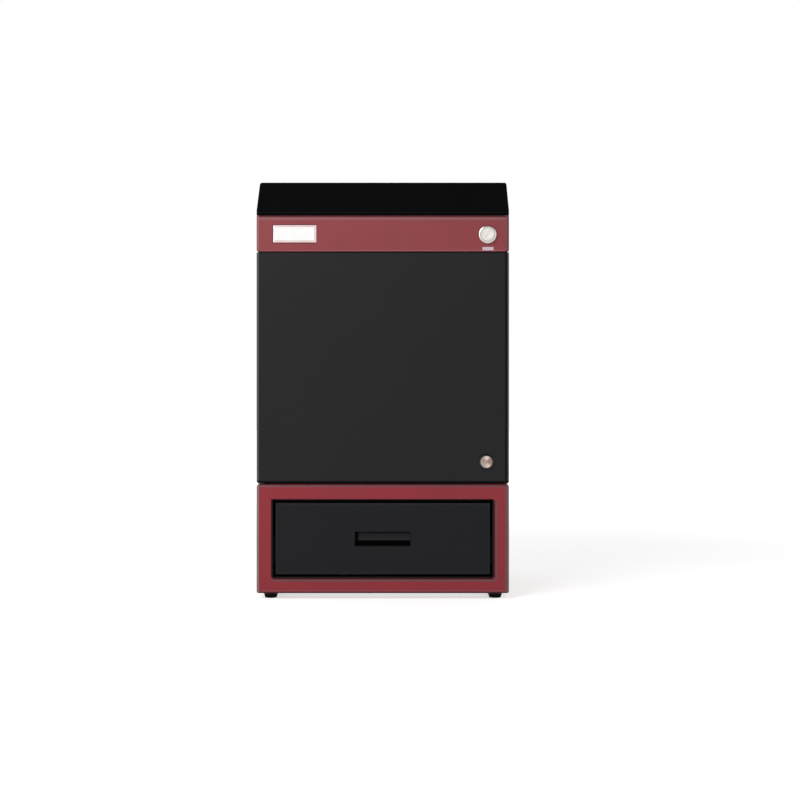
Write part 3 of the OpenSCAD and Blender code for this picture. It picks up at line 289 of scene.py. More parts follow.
base_red = (0.228, 0.0115, 0.0195)
highlight_red = (0.215, 0.034, 0.043)
grey_sheen_red = (0.118, 0.044, 0.050)
grey_highlight_red = (0.190, 0.125, 0.128)
shade_red = (0.045, 0.003, 0.006)
deep_shade_red = (0.010, 0.002, 0.003)
base_low, base_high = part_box("base_housing")
on_base_front = front_of(base_low)
bay_side, bay_low, bay_high = 0.1876, 0.0371, 0.1684
# Painted light on the base's front: dark lines are painted shade round the drawer opening and at
# the bottom edge, pale and grey lines are painted highlights and sheen on the bends.
base_light_and_shade = (
    ("X", bay_side + 0.0017, 0.0028, "Z", bay_low, bay_high, shade_red),
    ("X", bay_side + 0.0053, 0.0026, "Z", bay_low - 0.005, bay_high, grey_sheen_red),
    ("Z", bay_low - 0.0017, 0.0026, "X", -bay_side, bay_side, shade_red),
    ("Z", bay_low - 0.0051, 0.0026, "X", -bay_side, bay_side + 0.005, grey_sheen_red),
    ("Z", bay_high + 0.0008, 0.0022, "X", -bay_side - 0.002, bay_side, deep_shade_red),
    ("X", -bay_side - 0.0009, 0.0025, "Z", bay_low, bay_high, deep_shade_red),
    ("X", bay_side + 0.0002, 0.0014, "Z", bay_low, bay_high, deep_shade_red),
    ("Z", bay_low - 0.0002, 0.0014, "X", -bay_side, bay_side, deep_shade_red),
    ("Z", base_high[2] - 0.0026, 0.0028, *on_base_front, grey_sheen_red),
    ("Z", base_low[2] + 0.0041, 0.0024, *on_base_front, highlight_red),
    ("Z", base_low[2] + 0.0007, 0.0026, *on_base_front, shade_red),
    ("X", base_low[0] + 0.0020, 0.0034, *on_base_front, grey_highlight_red),
    ("X", base_high[0] - 0.0052, 0.0027, *on_base_front, grey_sheen_red),
    ("X", base_high[0] - 0.0010, 0.0026, *on_base_front, grey_highlight_red),
)
dress(sprayed_coat("wine_red_coat", base_red, 0.36, specular=0.36, light_and_shade_lines=base_light_and_shade),
      "base_housing")


# ---------- base pan and rear fittings of the base ----------
# The pan is zinc-plated sheet, passivated dark, with the faint spangle and dull patches of the
# plating. The mains inlet is moulded in black with flat nickel contacts.
def plated_steel(name, colour, roughness, spangle=160.0):
    finish, tree, shader = new_finish(name, colour, roughness, metallic=1.0)
    crystals = chain(tree, "ShaderNodeTexVoronoi", {
        "Vector": on_the_piece(tree), "Scale": spangle})
    vary_roughness(tree, crystals.outputs["Distance"], shader,
                   roughness - 0.05, roughness + 0.08, 0.1, 0.8)
    vary_colour(tree, cloudy(tree, 30, 3), shader, times(colour, 0.86), times(colour, 1.05))
    raise_by(tree, shader, cloudy(tree, 1400, 1), 0.00001, 0.3)
    return finish


def moulded(name, colour, roughness, grain=1500.0, depth=0.00003, specular=0.45):
    """Plastic or rubber from a mould with a fine spark-eroded grain."""
    finish, tree, shader = new_finish(name, colour, roughness, specular=specular)
    sparks = cloudy(tree, grain)
    vary_colour(tree, cloudy(tree, 14), shader, times(colour, 0.9), times(colour, 1.1))
    vary_roughness(tree, sparks, shader, roughness - 0.05, roughness + 0.07)
    raise_by(tree, shader, sparks, depth, 0.4)
    return finish


dress(plated_steel("dulled_zinc", (0.32, 0.32, 0.33), 0.62), "base_pan")
black_plastic = moulded("black_plastic", (0.012, 0.012, 0.013), 0.45)
dress(black_plastic, "mains_inlet")

inlet_low, inlet_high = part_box("mains_inlet")
inlet_x = (inlet_low[0] + inlet_high[0]) / 2
inlet_z = (inlet_low[2] + inlet_high[2]) / 2
contact_pitch = 0.007
contact_size = (0.0022, 0.0092, 0.0042)
contact_back = rear_y - 0.014


def box_faces(shape, low, high):
    corners = [(x, y, z) for x in (low[0], high[0]) for y in (low[1], high[1])
               for z in (low[2], high[2])]
    verts = [shape.verts.new(corner) for corner in corners]
    for ring in ((0, 1, 3, 2), (4, 6, 7, 5), (0, 4, 5, 1),
                 (2, 3, 7, 6), (0, 2, 6, 4), (1, 5, 7, 3)):
        shape.faces.new([verts[i] for i in ring])


def as_piece(name, shape, finish, body, bevel=0.0):
    """Turns a bmesh in its place into a piece with an optional bevel on its sharp edges."""
    bmesh.ops.recalc_face_normals(shape, faces=shape.faces)
    mesh = bpy.data.meshes.new(name)
    shape.to_mesh(mesh)
    shape.free()
    mesh.materials.append(finish)
    piece = bpy.data.objects.new(name, mesh)
    scene.collection.objects.link(piece)
    if bevel:
        edge = piece.modifiers.new("bevel", "BEVEL")
        edge.width = bevel
        edge.segments = 2
        edge.limit_method = "ANGLE"
    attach(piece, body)
    return piece


contacts = bmesh.new()
for step, lift in ((-1, -0.002), (0, 0.002), (1, -0.002)):
    centre = (inlet_x + step * contact_pitch, contact_back + contact_size[1] / 2, inlet_z + lift)
    box_faces(contacts, [c - s / 2 for c, s in zip(centre, contact_size)],
              [c + s / 2 for c, s in zip(centre, contact_size)])
nickel_contact = plated_steel("nickel_contact", (0.68, 0.66, 0.62), 0.25, spangle=500)
as_piece("inlet_contacts", contacts, nickel_contact, "cabinet", 0.0003)


# ---------- feet and all the screws ----------
# Four turned rubber feet, each held by a pan-head screw from below. The screws are zinc-plated
# steel with a pressed cross recess, driven home by hand, so each stops at another angle.
foot_rubber = moulded("foot_rubber", (0.0035, 0.0035, 0.0035), 0.75,
                      grain=700, depth=0.00006, specular=0.1)
dress(foot_rubber, "feet")


def new_tree(name, inputs):
    """A geometry tree that takes the named inputs after its geometry: (name, socket kind)."""
    tree = bpy.data.node_groups.new(name, "GeometryNodeTree")
    tree.interface.new_socket("Geometry", in_out="INPUT", socket_type="NodeSocketGeometry")
    for socket_name, kind in inputs:
        tree.interface.new_socket(socket_name, in_out="INPUT", socket_type=kind)
    tree.interface.new_socket("Geometry", in_out="OUTPUT", socket_type="NodeSocketGeometry")
    return tree, tree.nodes.new("NodeGroupInput"), tree.nodes.new("NodeGroupOutput")


def grown_mesh(name, start, tree, values, finish, body):
    """Runs the tree on the start mesh with these values and keeps the result as a plain piece."""
    seed_object = bpy.data.objects.new(name + "_places", start)
    scene.collection.objects.link(seed_object)
    grow = seed_object.modifiers.new("grow", "NODES")
    grow.node_group = tree
    for item in tree.interface.items_tree:
        if item.in_out == "INPUT" and item.name in values:
            grow[item.identifier] = values[item.name]
    evaluated = seed_object.evaluated_get(bpy.context.evaluated_depsgraph_get())
    mesh = bpy.data.meshes.new_from_object(evaluated)
    mesh.name = name
    bpy.data.objects.remove(seed_object)
    mesh.materials.clear()
    mesh.materials.append(finish)
    piece = bpy.data.objects.new(name, mesh)
    scene.collection.objects.link(piece)
    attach(piece, body)
    return piece


screw_tree, screw_in, screw_out = new_tree("pan_head_screws", (
    ("Head Radius", "NodeSocketFloat"), ("Head Height", "NodeSocketFloat"),
    ("Shank Radius", "NodeSocketFloat"), ("Shank Length", "NodeSocketFloat"),
    ("Recess Width", "NodeSocketFloat"), ("Seed", "NodeSocketInt"),
    ("Finish", "NodeSocketMaterial")))
head_radius, head_height = screw_in.outputs["Head Radius"], screw_in.outputs["Head Height"]
head_drum = chain(screw_tree, "GeometryNodeMeshCylinder", {
    "Vertices": 32, "Side Segments": 6, "Radius": head_radius, "Depth": head_height})
head_lift = chain(screw_tree, "ShaderNodeCombineXYZ", {
    "Z": calculate(screw_tree, "MULTIPLY", head_height, 0.5)})
head_up = chain(screw_tree, "GeometryNodeTransform", {
    "Geometry": head_drum.outputs["Mesh"], "Translation": head_lift.outputs[0]})
where = chain(screw_tree, "GeometryNodeInputPosition")
apart = chain(screw_tree, "ShaderNodeSeparateXYZ", {0: where.outputs[0]})
rise = calculate(screw_tree, "DIVIDE", apart.outputs["Z"], head_height)
rise_squared = calculate(screw_tree, "POWER", rise, 2.0)
dome = calculate(screw_tree, "MULTIPLY_ADD", rise_squared, -0.6, 1.0)
narrowing = calculate(screw_tree, "SQRT", dome)
squeeze = chain(screw_tree, "ShaderNodeCombineXYZ", {"X": narrowing, "Y": narrowing, "Z": 1.0})
domed = chain(screw_tree, "ShaderNodeVectorMath", {0: where.outputs[0], 1: squeeze.outputs[0]},
              operation="MULTIPLY")
pan_head = chain(screw_tree, "GeometryNodeSetPosition", {
    "Geometry": head_up.outputs[0], "Position": domed.outputs[0]})
recess_reach = calculate(screw_tree, "MULTIPLY", head_radius, 1.05)
recess_lift = chain(screw_tree, "ShaderNodeCombineXYZ", {"Z": head_height})
cut = chain(screw_tree, "GeometryNodeMeshBoolean", {0: pan_head.outputs[0]},
            operation="DIFFERENCE")
for long_axis, short_axis in (("X", "Y"), ("Y", "X")):
    arm_size = chain(screw_tree, "ShaderNodeCombineXYZ", {
        long_axis: recess_reach, short_axis: screw_in.outputs["Recess Width"], "Z": head_height})
    arm = chain(screw_tree, "GeometryNodeMeshCube", {"Size": arm_size.outputs[0]})
    arm_up = chain(screw_tree, "GeometryNodeTransform", {
        "Geometry": arm.outputs["Mesh"], "Translation": recess_lift.outputs[0]})
    screw_tree.links.new(arm_up.outputs[0], cut.inputs[1])
shank_rod = chain(screw_tree, "GeometryNodeMeshCylinder", {
    "Vertices": 20, "Radius": screw_in.outputs["Shank Radius"],
    "Depth": screw_in.outputs["Shank Length"]})
shank_drop = chain(screw_tree, "ShaderNodeCombineXYZ", {
    "Z": calculate(screw_tree, "MULTIPLY", screw_in.outputs["Shank Length"], -0.5)})
shank = chain(screw_tree, "GeometryNodeTransform", {
    "Geometry": shank_rod.outputs["Mesh"], "Translation": shank_drop.outputs[0]})
whole_screw = chain(screw_tree, "GeometryNodeJoinGeometry")
screw_tree.links.new(cut.outputs[0], whole_screw.inputs[0])
screw_tree.links.new(shank.outputs[0], whole_screw.inputs[0])
facing = chain(screw_tree, "GeometryNodeInputNamedAttribute", {"Name": "facing"},
               data_type="FLOAT_VECTOR")
aim = chain(screw_tree, "FunctionNodeAlignRotationToVector", {"Vector": facing.outputs[0]},
            axis="Z")
set_down = chain(screw_tree, "GeometryNodeInstanceOnPoints", {
    "Points": screw_in.outputs["Geometry"], "Instance": whole_screw.outputs[0],
    "Rotation": aim.outputs[0]})
turn = chain(screw_tree, "FunctionNodeRandomValue", {
    "Min": (0, 0, 0), "Max": (0, 0, math.pi / 2), "Seed": screw_in.outputs["Seed"]},
    data_type="FLOAT_VECTOR")
turned_screws = chain(screw_tree, "GeometryNodeRotateInstances", {
    "Instances": set_down.outputs[0], "Rotation": turn.outputs[0]})
real_screws = chain(screw_tree, "GeometryNodeRealizeInstances", {0: turned_screws.outputs[0]})
finished_screws = chain(screw_tree, "GeometryNodeSetMaterial", {
    0: real_screws.outputs[0], "Material": screw_in.outputs["Finish"]})
screw_tree.links.new(finished_screws.outputs[0], screw_out.inputs[0])


screw_zinc = plated_steel("screw_zinc", (0.6, 0.6, 0.6), 0.3, spangle=600)


def set_screws(name, stands_for, places, length, seed, height=0.0024):
    """Places are (point under the head, direction that the head faces)."""
    marks = bpy.data.meshes.new(name)
    marks.from_pydata([place for place, _ in places], [], [])
    directions = marks.attributes.new("facing", "FLOAT_VECTOR", "POINT")
    for mark, (_, direction) in zip(directions.data, places):
        mark.vector = direction
    piece = grown_mesh(name, marks, screw_tree, {
        "Head Radius": 0.0038, "Head Height": height, "Shank Radius": 0.002,
        "Shank Length": length, "Recess Width": 0.0009, "Seed": seed, "Finish": screw_zinc},
        screw_zinc, "cabinet")
    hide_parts(stands_for)
    return piece


half_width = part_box("control_band")[1][0]
foot_side_inset, foot_end_inset, foot_seat = 0.0225, 0.03, 0.004
foot_x, foot_y = half_width - foot_side_inset, rear_y - foot_end_inset
foot_marks = [((x * foot_x, y * foot_y, foot_seat), (0, 0, -1))
              for x in (-1, 1) for y in (-1, 1)]
set_screws("foot_screw_set", "foot_screws", foot_marks, length=0.0088, seed=3)


# ---------- drawer slides ----------
# Three-member ball slides and their angle brackets, rolled from steel and plated black, so the
# gap round the drawer stays dark. Grease dulls them in patches.
black_zinc, slide_tree, slide_shader = new_finish("black_zinc", (0.006, 0.006, 0.0065), 0.55,
                                                  specular=0.12)
vary_colour(slide_tree, cloudy(slide_tree, 45, 3), slide_shader,
            (0.004, 0.004, 0.0045), (0.012, 0.012, 0.012))
vary_roughness(slide_tree, cloudy(slide_tree, 300), slide_shader, 0.45, 0.65)
dress(black_zinc, "slide_brackets", "slide_outers", "slide_middles", "slide_inners")


# ---------- drawer tray and lamps ----------
# The tray is zinc-plated sheet. In it a polished reflector lies under six tubes with
# aluminium end caps in white holders, fed by a ballast in a brushed aluminium case.
def brushed(name, colour, roughness, along, streaks_per_metre=600.0):
    """Metal brushed along one axis: the streaks are long that way and fine across it."""
    finish, tree, shader = new_finish(name, colour, roughness, metallic=1.0)
    stretch = [0.02 if axis == along else 1.0 for axis in "xyz"]
    streaks = cloudy(tree, streaks_per_metre, 3, stretch)
    vary_colour(tree, streaks, shader, times(colour, 0.86), times(colour, 1.06))
    vary_roughness(tree, streaks, shader, roughness - 0.08, roughness + 0.08)
    raise_by(tree, shader, streaks, 0.00002, 0.25)
    return finish


zinc = plated_steel("zinc_plate", (0.56, 0.57, 0.58), 0.38)
dress(zinc, "drawer_tray")
brushed_aluminium = brushed("brushed_aluminium", (0.74, 0.75, 0.76), 0.34, "x")
dress(brushed_aluminium, "tube_caps", "ballast")
mirror, mirror_tree, mirror_shader = new_finish("reflector_sheet", (0.86, 0.87, 0.88), 0.12,
                                               metallic=1.0)
vary_roughness(mirror_tree, cloudy(mirror_tree, 25), mirror_shader, 0.08, 0.2)
raise_by(mirror_tree, mirror_shader, cloudy(mirror_tree, 60), 0.0002, 0.2)
dress(mirror, "lamp_reflector")
dress(moulded("holder_white", (0.76, 0.76, 0.74), 0.4), "lamp_holders")

tube_glass, tube_tree, tube_shader = new_finish("phosphor_tube", (0.8, 0.82, 0.86), 0.16)
tube_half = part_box("uv_tubes")[1][0]
dark_end = 0.014
from_middle = calculate(tube_tree, "ABSOLUTE", axes_of(tube_tree).outputs["X"])
vary_colour(tube_tree, from_middle, tube_shader, (0.8, 0.82, 0.86), (0.28, 0.26, 0.27),
            tube_half - dark_end, tube_half)
vary_roughness(tube_tree, cloudy(tube_tree, 300), tube_shader, 0.12, 0.24)
dress(tube_glass, "uv_tubes")


# ---------- light table ----------
# The drawer's top is a stainless frame brushed from side to side, round a plate of deep violet
# glass that passes the ultraviolet light and little else. A black strip on its front upstand,
# where it shows through the drawer's top gap, is painted shade.
def clear_glass(name, colour, roughness, transmission, smears=60.0):
    finish, tree, shader = new_finish(name, colour, roughness)
    shader.inputs["Transmission Weight"].default_value = transmission
    vary_roughness(tree, cloudy(tree, smears), shader, roughness, roughness + 0.04)
    vary_colour(tree, cloudy(tree, 20), shader, times(colour, 0.94), times(colour, 1.04))
    return finish


table_steel = brushed("brushed_stainless", (0.58, 0.58, 0.59), 0.3, "x")
table_tree = table_steel.node_tree
table_colour = table_tree.nodes["Principled BSDF"].inputs["Base Color"]
# Painted shade: a black strip on the upstand where the gap over the drawer looks onto it.
upstand_y, upstand_half = -0.1167, 0.0008
upstand_shade_mask = strip(table_tree, axes_of(table_tree), "Y", upstand_y, upstand_half, "Z", 0, 1)
upstand_shaded = laid_over(table_tree, table_colour.links[0].from_socket, upstand_shade_mask,
                      (0.004, 0.004, 0.004))
table_tree.links.new(upstand_shaded, table_colour)
dress(table_steel, "transilluminator_top")
dress(clear_glass("violet_filter_glass", (0.045, 0.018, 0.1), 0.05, transmission=0.2, smears=35),
      "uv_filter_glass")


# ---------- drawer front and pull ----------
# The front is the same folded sheet as the door, sprayed charcoal. The pull is one moulding
# behind a punched slot: a sloped bar across the top and a slot for the fingers below it, whose
# black is painted shade.
drawer_charcoal = (0.0058, 0.0062, 0.0074)
drawer_edge_highlight = (0.0088, 0.0104, 0.0122)
drawer_low, drawer_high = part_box("drawer_front")
on_drawer_front = front_of(drawer_low, 0.002)
pull_low, pull_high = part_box("drawer_pull")
pull_flange = 0.005
slot_end_x = pull_high[0] - pull_flange
slot_low_z = pull_low[2] + pull_flange
# Painted light on the drawer front: pale lines along its four edges are painted highlights, and a
# black line under the pull's slot is painted shadow.
drawer_light_and_shade = (
    ("Z", drawer_high[2] - 0.0026, 0.0022, *on_drawer_front, drawer_edge_highlight),
    ("Z", drawer_low[2] + 0.0018, 0.0020, *on_drawer_front, drawer_edge_highlight),
    ("X", drawer_low[0] + 0.0022, 0.0020, *on_drawer_front, drawer_edge_highlight),
    ("X", drawer_high[0] - 0.0018, 0.0020, *on_drawer_front, drawer_edge_highlight),
    ("Z", slot_low_z - 0.0004, 0.0016, "X", -slot_end_x, slot_end_x, (0.0004, 0.0004, 0.0004)),
)
dress(sprayed_coat("drawer_charcoal_coat", drawer_charcoal, 0.42, specular=0.14,
                   light_and_shade_lines=drawer_light_and_shade), "drawer_front")

pull_black, pull_tree, pull_shader = new_finish("pull_black", (0.005, 0.005, 0.0055), 0.5,
                                                specular=0.02)
bar_depth, slot_depth = 0.0006, 0.0062
pull_place = axes_of(pull_tree, (0, pull_low[1], 0))
# The pull's colour is painted shade: lighter on the bar at the front, near black deeper in, and a
# black strip of painted shadow at the left end.
pull_depth_shade = vary_colour(pull_tree, pull_place.outputs["Y"], pull_shader,
                          (0.0215, 0.022, 0.0245), (0.0003, 0.0003, 0.0003),
                          bar_depth, slot_depth)
end_shadow_x, end_shadow_half = 0.0024 - slot_end_x, 0.0054
pull_end_shadow = strip(pull_tree, pull_place, "X", end_shadow_x, end_shadow_half, "Z", 0, 1)
shadowed_pull = laid_over(pull_tree, pull_depth_shade, pull_end_shadow, (0.0002, 0.0002, 0.0002))
pull_tree.links.new(shadowed_pull, pull_shader.inputs["Base Color"])
pull_grain = cloudy(pull_tree, 1200)
vary_roughness(pull_tree, pull_grain, pull_shader, 0.45, 0.57)
raise_by(pull_tree, pull_shader, pull_grain, 0.00003, 0.4)
dress(pull_black, "drawer_pull")


# ---------- imaging chamber ----------
# A folded charcoal housing. What faces the gel inside is sprayed dead black, with a coarse dry
# texture that throws no light back. The rear hatch is closed by a flat charcoal cover.
chamber_charcoal = (0.0085, 0.0085, 0.0095)
dress(sprayed_coat("chamber_charcoal_coat", chamber_charcoal, 0.42, specular=0.2),
      "chamber_housing", "rear_panel")
dead_black = sprayed_coat("dead_black_coat", (0.006, 0.006, 0.006), 0.75, specular=0.2,
                          peel=0.00008, unevenness=0.12)
dress(dead_black, "mid_deck", "camera_deck")

sheet = 0.0015
screw_inset = 0.0075
deck_screw_x = half_width - sheet - screw_inset
deck_screw_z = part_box("mid_deck")[1][2] + sheet
hatch_low, hatch_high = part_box("rear_panel")
hatch_x = hatch_high[0] - screw_inset
hatch_z0, hatch_z1 = hatch_low[2] + screw_inset, hatch_high[2] - screw_inset
hatch_mid = (hatch_z0 + hatch_z1) / 2
hatch_y = rear_y + sheet
floor_marks = [((x * deck_screw_x, y * rear_y, deck_screw_z), (0, 0, 1))
               for x in (-1, 1) for y in (-0.55, 0.05, 0.65)]
hatch_marks = [((x, hatch_y, z), (0, 1, 0)) for x, z in (
    (-hatch_x, hatch_z0), (0, hatch_z0), (hatch_x, hatch_z0), (-hatch_x, hatch_mid),
    (hatch_x, hatch_mid), (-hatch_x, hatch_z1), (0, hatch_z1), (hatch_x, hatch_z1))]
set_screws("panel_screw_set", "panel_screws", floor_marks + hatch_marks, length=0.008, seed=5)


# ---------- chamber lamps and door switch ----------
# White-light bars in the upper corners: extruded aluminium cases with opal diffusers. The
# magnetic switch over the door's edge is potted in black plastic.
dress(brushed("extruded_aluminium", (0.5, 0.51, 0.52), 0.42, "y"), "epi_lamps")
opal, opal_tree, opal_shader = new_finish("opal_diffuser", (0.82, 0.83, 0.82), 0.5)
opal_shader.inputs["Subsurface Weight"].default_value = 0.2
opal_shader.inputs["Subsurface Radius"].default_value = (0.004, 0.004, 0.004)
opal_shader.inputs["Subsurface Scale"].default_value = 1.0
ribs = chain(opal_tree, "ShaderNodeTexWave", {"Vector": on_the_piece(opal_tree), "Scale": 130},
             wave_type="BANDS", bands_direction="Y")
raise_by(opal_tree, opal_shader, ribs.outputs["Fac"], 0.0002, 0.5)
vary_colour(opal_tree, cloudy(opal_tree, 12), opal_shader,
            (0.78, 0.79, 0.77), (0.85, 0.86, 0.85))
dress(opal, "epi_diffusers")
dress(black_plastic, "interlock_switch", "interlock_magnet")


# ---------- camera, lens and filter wheel ----------
# A finned black camera looks down through a zoom lens and a wheel of six filters. The rings
# are anodised and knurled; each ring carries an engraved white index line.
anodised = moulded("black_anodised", (0.016, 0.016, 0.018), 0.35, grain=2200, depth=0.00001)
dress(anodised, "camera_body", "lens_barrel", "focus_ring", "zoom_ring", "iris_ring",
      "filter_wheel")
dress(black_plastic, "wheel_motor")
dress(zinc, "camera_bracket", "wheel_bridge")
dress(clear_glass("coated_lens", (0.5, 0.56, 0.85), 0.02, transmission=0.9), "lens_glass")

index_white = moulded("index_white", (0.75, 0.75, 0.72), 0.5, grain=900, depth=0.00001)
for ring, body, notch_angle in (
        ("focus_ring", "focus", 6.0), ("zoom_ring", "zoom", 7.5), ("iris_ring", "iris", 7.5)):
    ring_low, ring_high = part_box(ring)
    ring_radius = min(ring_high[1], -ring_low[1])
    line = bmesh.new()
    box_faces(line, (ring_radius - 0.0006, -0.0004, ring_low[2] + 0.001),
              (ring_radius - 0.00002, 0.0004, ring_high[2] - 0.001))
    bmesh.ops.rotate(line, verts=line.verts, cent=(0, 0, 0),
                     matrix=Matrix.Rotation(math.radians(notch_angle - 90), 3, "Z"))
    as_piece(ring + "_index", line, index_white, body)

filter_glass, filter_tree, filter_shader = new_finish("filter_glass", (0.9, 0.3, 0.02), 0.03)
filter_shader.inputs["Transmission Weight"].default_value = 0.9
wheel_low, wheel_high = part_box("filter_wheel")
wheel_x = (wheel_low[0] + wheel_high[0]) / 2
filter_colours = ((0.9, 0.28, 0.02), (0.85, 0.85, 0.85), (0.1, 0.6, 0.15), (0.75, 0.03, 0.02),
                  (0.35, 0.01, 0.01), (0.06, 0.16, 0.8))
first_edge_angle = 210.0
wheel_turn = chain(filter_tree, "ShaderNodeMapping", {
    "Vector": on_the_piece(filter_tree, centre=(wheel_x, 0, 0)),
    "Rotation": (0, 0, math.radians(first_edge_angle))})
sector = chain(filter_tree, "ShaderNodeTexGradient", {0: wheel_turn.outputs[0]},
               gradient_type="RADIAL")
by_sector = colour_ramp(filter_tree, sector.outputs["Fac"], [
    (step / len(filter_colours), colour) for step, colour in enumerate(filter_colours)])
by_sector.color_ramp.interpolation = "CONSTANT"
filter_tree.links.new(by_sector.outputs["Color"], filter_shader.inputs["Base Color"])
vary_roughness(filter_tree, cloudy(filter_tree, 60), filter_shader, 0.02, 0.06)
dress(filter_glass, "wheel_filters")


# ---------- control band ----------
# The red band over the door is sprayed like the base, a little paler and hazier. A bevelled
# enamel plate on its left and a small bare label under the button are stuck on.
band_red = (0.216, 0.026, 0.033)
band_highlight = (0.21, 0.075, 0.08)
band_grey_sheen = (0.17, 0.036, 0.042)
band_shade = (0.06, 0.008, 0.010)
band_low, band_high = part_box("control_band")
on_band_front = front_of(band_low)
# Painted light on the band's front: a dark line of painted shade under the hood, pale lines of
# painted highlight along the top, bottom and left bends, and a painted grey sheen and a dark line
# of painted shade down the right edge.
band_light_and_shade = (
    ("Z", band_high[2] - 0.0014, 0.0036, *on_band_front, band_shade),
    ("Z", band_high[2] - 0.0068, 0.0028, *on_band_front, band_highlight),
    ("Z", band_low[2] + 0.0010, 0.0034, *on_band_front, (0.32, 0.085, 0.09)),
    ("X", band_low[0] + 0.0020, 0.0030, *on_band_front, band_highlight),
    ("X", band_high[0] - 0.0050, 0.0024, *on_band_front, band_grey_sheen),
    ("X", band_high[0] - 0.0014, 0.0026, *on_band_front, (0.10, 0.022, 0.028)),
)
dress(sprayed_coat("band_red_coat", band_red, 0.38, specular=0.42, light_and_shade_lines=band_light_and_shade),
      "control_band")


def bevelled_plate(name, left, right, low, high, thickness, rim, finishes):
    """A plate on the band's face: a sloped rim all round and a flat face, each its own finish."""
    shape = bmesh.new()
    rings = []
    for inset, out in ((0, 0), (0, thickness * 0.35), (rim, thickness)):
        rings.append([shape.verts.new((x, front_y - out, z)) for x, z in (
            (left + inset, low + inset), (right - inset, low + inset),
            (right - inset, high - inset), (left + inset, high - inset))])
    shape.faces.new(rings[0])
    for near, far in zip(rings, rings[1:]):
        for i in range(4):
            shape.faces.new((near[i], near[(i + 1) % 4], far[(i + 1) % 4], far[i]))
    face = shape.faces.new(rings[-1])
    face.material_index = 1
    plate = as_piece(name, shape, finishes[0], "cabinet", thickness * 0.08)
    plate.data.materials.append(finishes[1])
    return plate


# The rim's pink is painted reflection of the red band round it, on a glossy enamel with a clear
# coat.
rim_enamel_red_reflection, rim_tree, rim_shader = new_finish("rim_enamel_red_reflection", (0.8, 0.62, 0.6), 0.12)
rim_shader.inputs["Coat Weight"].default_value = 1.0
rim_shader.inputs["Coat Roughness"].default_value = 0.05
vary_colour(rim_tree, cloudy(rim_tree, 120), rim_shader, (0.76, 0.56, 0.55), (0.84, 0.68, 0.66))
face_enamel, face_tree, face_shader = new_finish("face_enamel", (0.86, 0.86, 0.85), 0.22)
vary_colour(face_tree, cloudy(face_tree, 90), face_shader, (0.84, 0.84, 0.83), (0.89, 0.89, 0.88))
vary_roughness(face_tree, cloudy(face_tree, 200), face_shader, 0.18, 0.28)
badge_left, badge_right, badge_low, badge_high = -0.1863, -0.113, 0.6068, 0.6363
# Dark foam tape under the badge, showing wider on the left, top and bottom than on the right: its
# edge is painted shadow of the plate.
shadow_tape = moulded("shadow_foam_tape", (0.03, 0.018, 0.016), 0.85,
               grain=800, depth=0.00006, specular=0.1)
shadow_edge, shadow_right_edge = 0.0011, 0.00022
bevelled_plate("badge_shadow_tape", badge_left - shadow_edge, badge_right + shadow_right_edge,
                       badge_low - shadow_edge, badge_high + shadow_edge,
                       thickness=0.0006, rim=0.0002, finishes=(shadow_tape, shadow_tape))
bevelled_plate("badge_plate", badge_left, badge_right, badge_low, badge_high,
                       thickness=0.0022, rim=0.0038, finishes=(rim_enamel_red_reflection, face_enamel))
label_grey = moulded("label_grey", (0.52, 0.42, 0.46), 0.35, grain=400, depth=0.00001)
label_left, label_right, label_low, label_high = 0.1695, 0.1885, 0.5932, 0.5992
bevelled_plate("button_label", label_left, label_right, label_low, label_high,
                       thickness=0.0006, rim=0.0006, finishes=(label_grey, label_grey))


# ---------- power button ----------
# A turned nickel bezel round a slightly conical cap with a faceted, mirror-bright face that
# breaks its reflections up. The body behind the band is moulded black.
def turned(name, colour, roughness, centre, ring_pitch, ring_depth=0.00002):
    """Metal faced on a lathe whose axis runs front to back through the centre."""
    finish, tree, shader = new_finish(name, colour, roughness, metallic=1.0)
    rings = chain(tree, "ShaderNodeTexWave", {
        "Vector": on_the_piece(tree, centre=centre), "Scale": 1 / ring_pitch / 20,
        "Distortion": 0.4}, wave_type="RINGS", rings_direction="Y")
    turned_normal = raise_by(tree, shader, rings.outputs["Fac"], ring_depth, 0.35)
    vary_roughness(tree, cloudy(tree, 300), shader, roughness - 0.05, roughness + 0.1)
    vary_colour(tree, cloudy(tree, 180), shader, times(colour, 0.88), times(colour, 1.06))
    return finish, tree, shader, turned_normal


button_low, button_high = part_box("button_cap")
button_centre = [(low + high) / 2 for low, high in zip(button_low, button_high)]
bezel_nickel = turned("bezel_nickel", (0.6, 0.56, 0.53), 0.26, button_centre, 0.0009)[0]
cap_nickel, cap_tree, cap_shader, cap_normal = turned(
    "cap_nickel", (0.76, 0.74, 0.7), 0.22, button_centre, 0.0006)
facets = chain(cap_tree, "ShaderNodeTexVoronoi", {
    "Vector": on_the_piece(cap_tree), "Scale": 260}, feature="SMOOTH_F1")
raise_by(cap_tree, cap_shader, facets.outputs["Distance"], 0.0004, 0.5, under=cap_normal)
dress(bezel_nickel, "button_housing")
dress(cap_nickel, "button_cap")
dress(black_plastic, "switch_body")


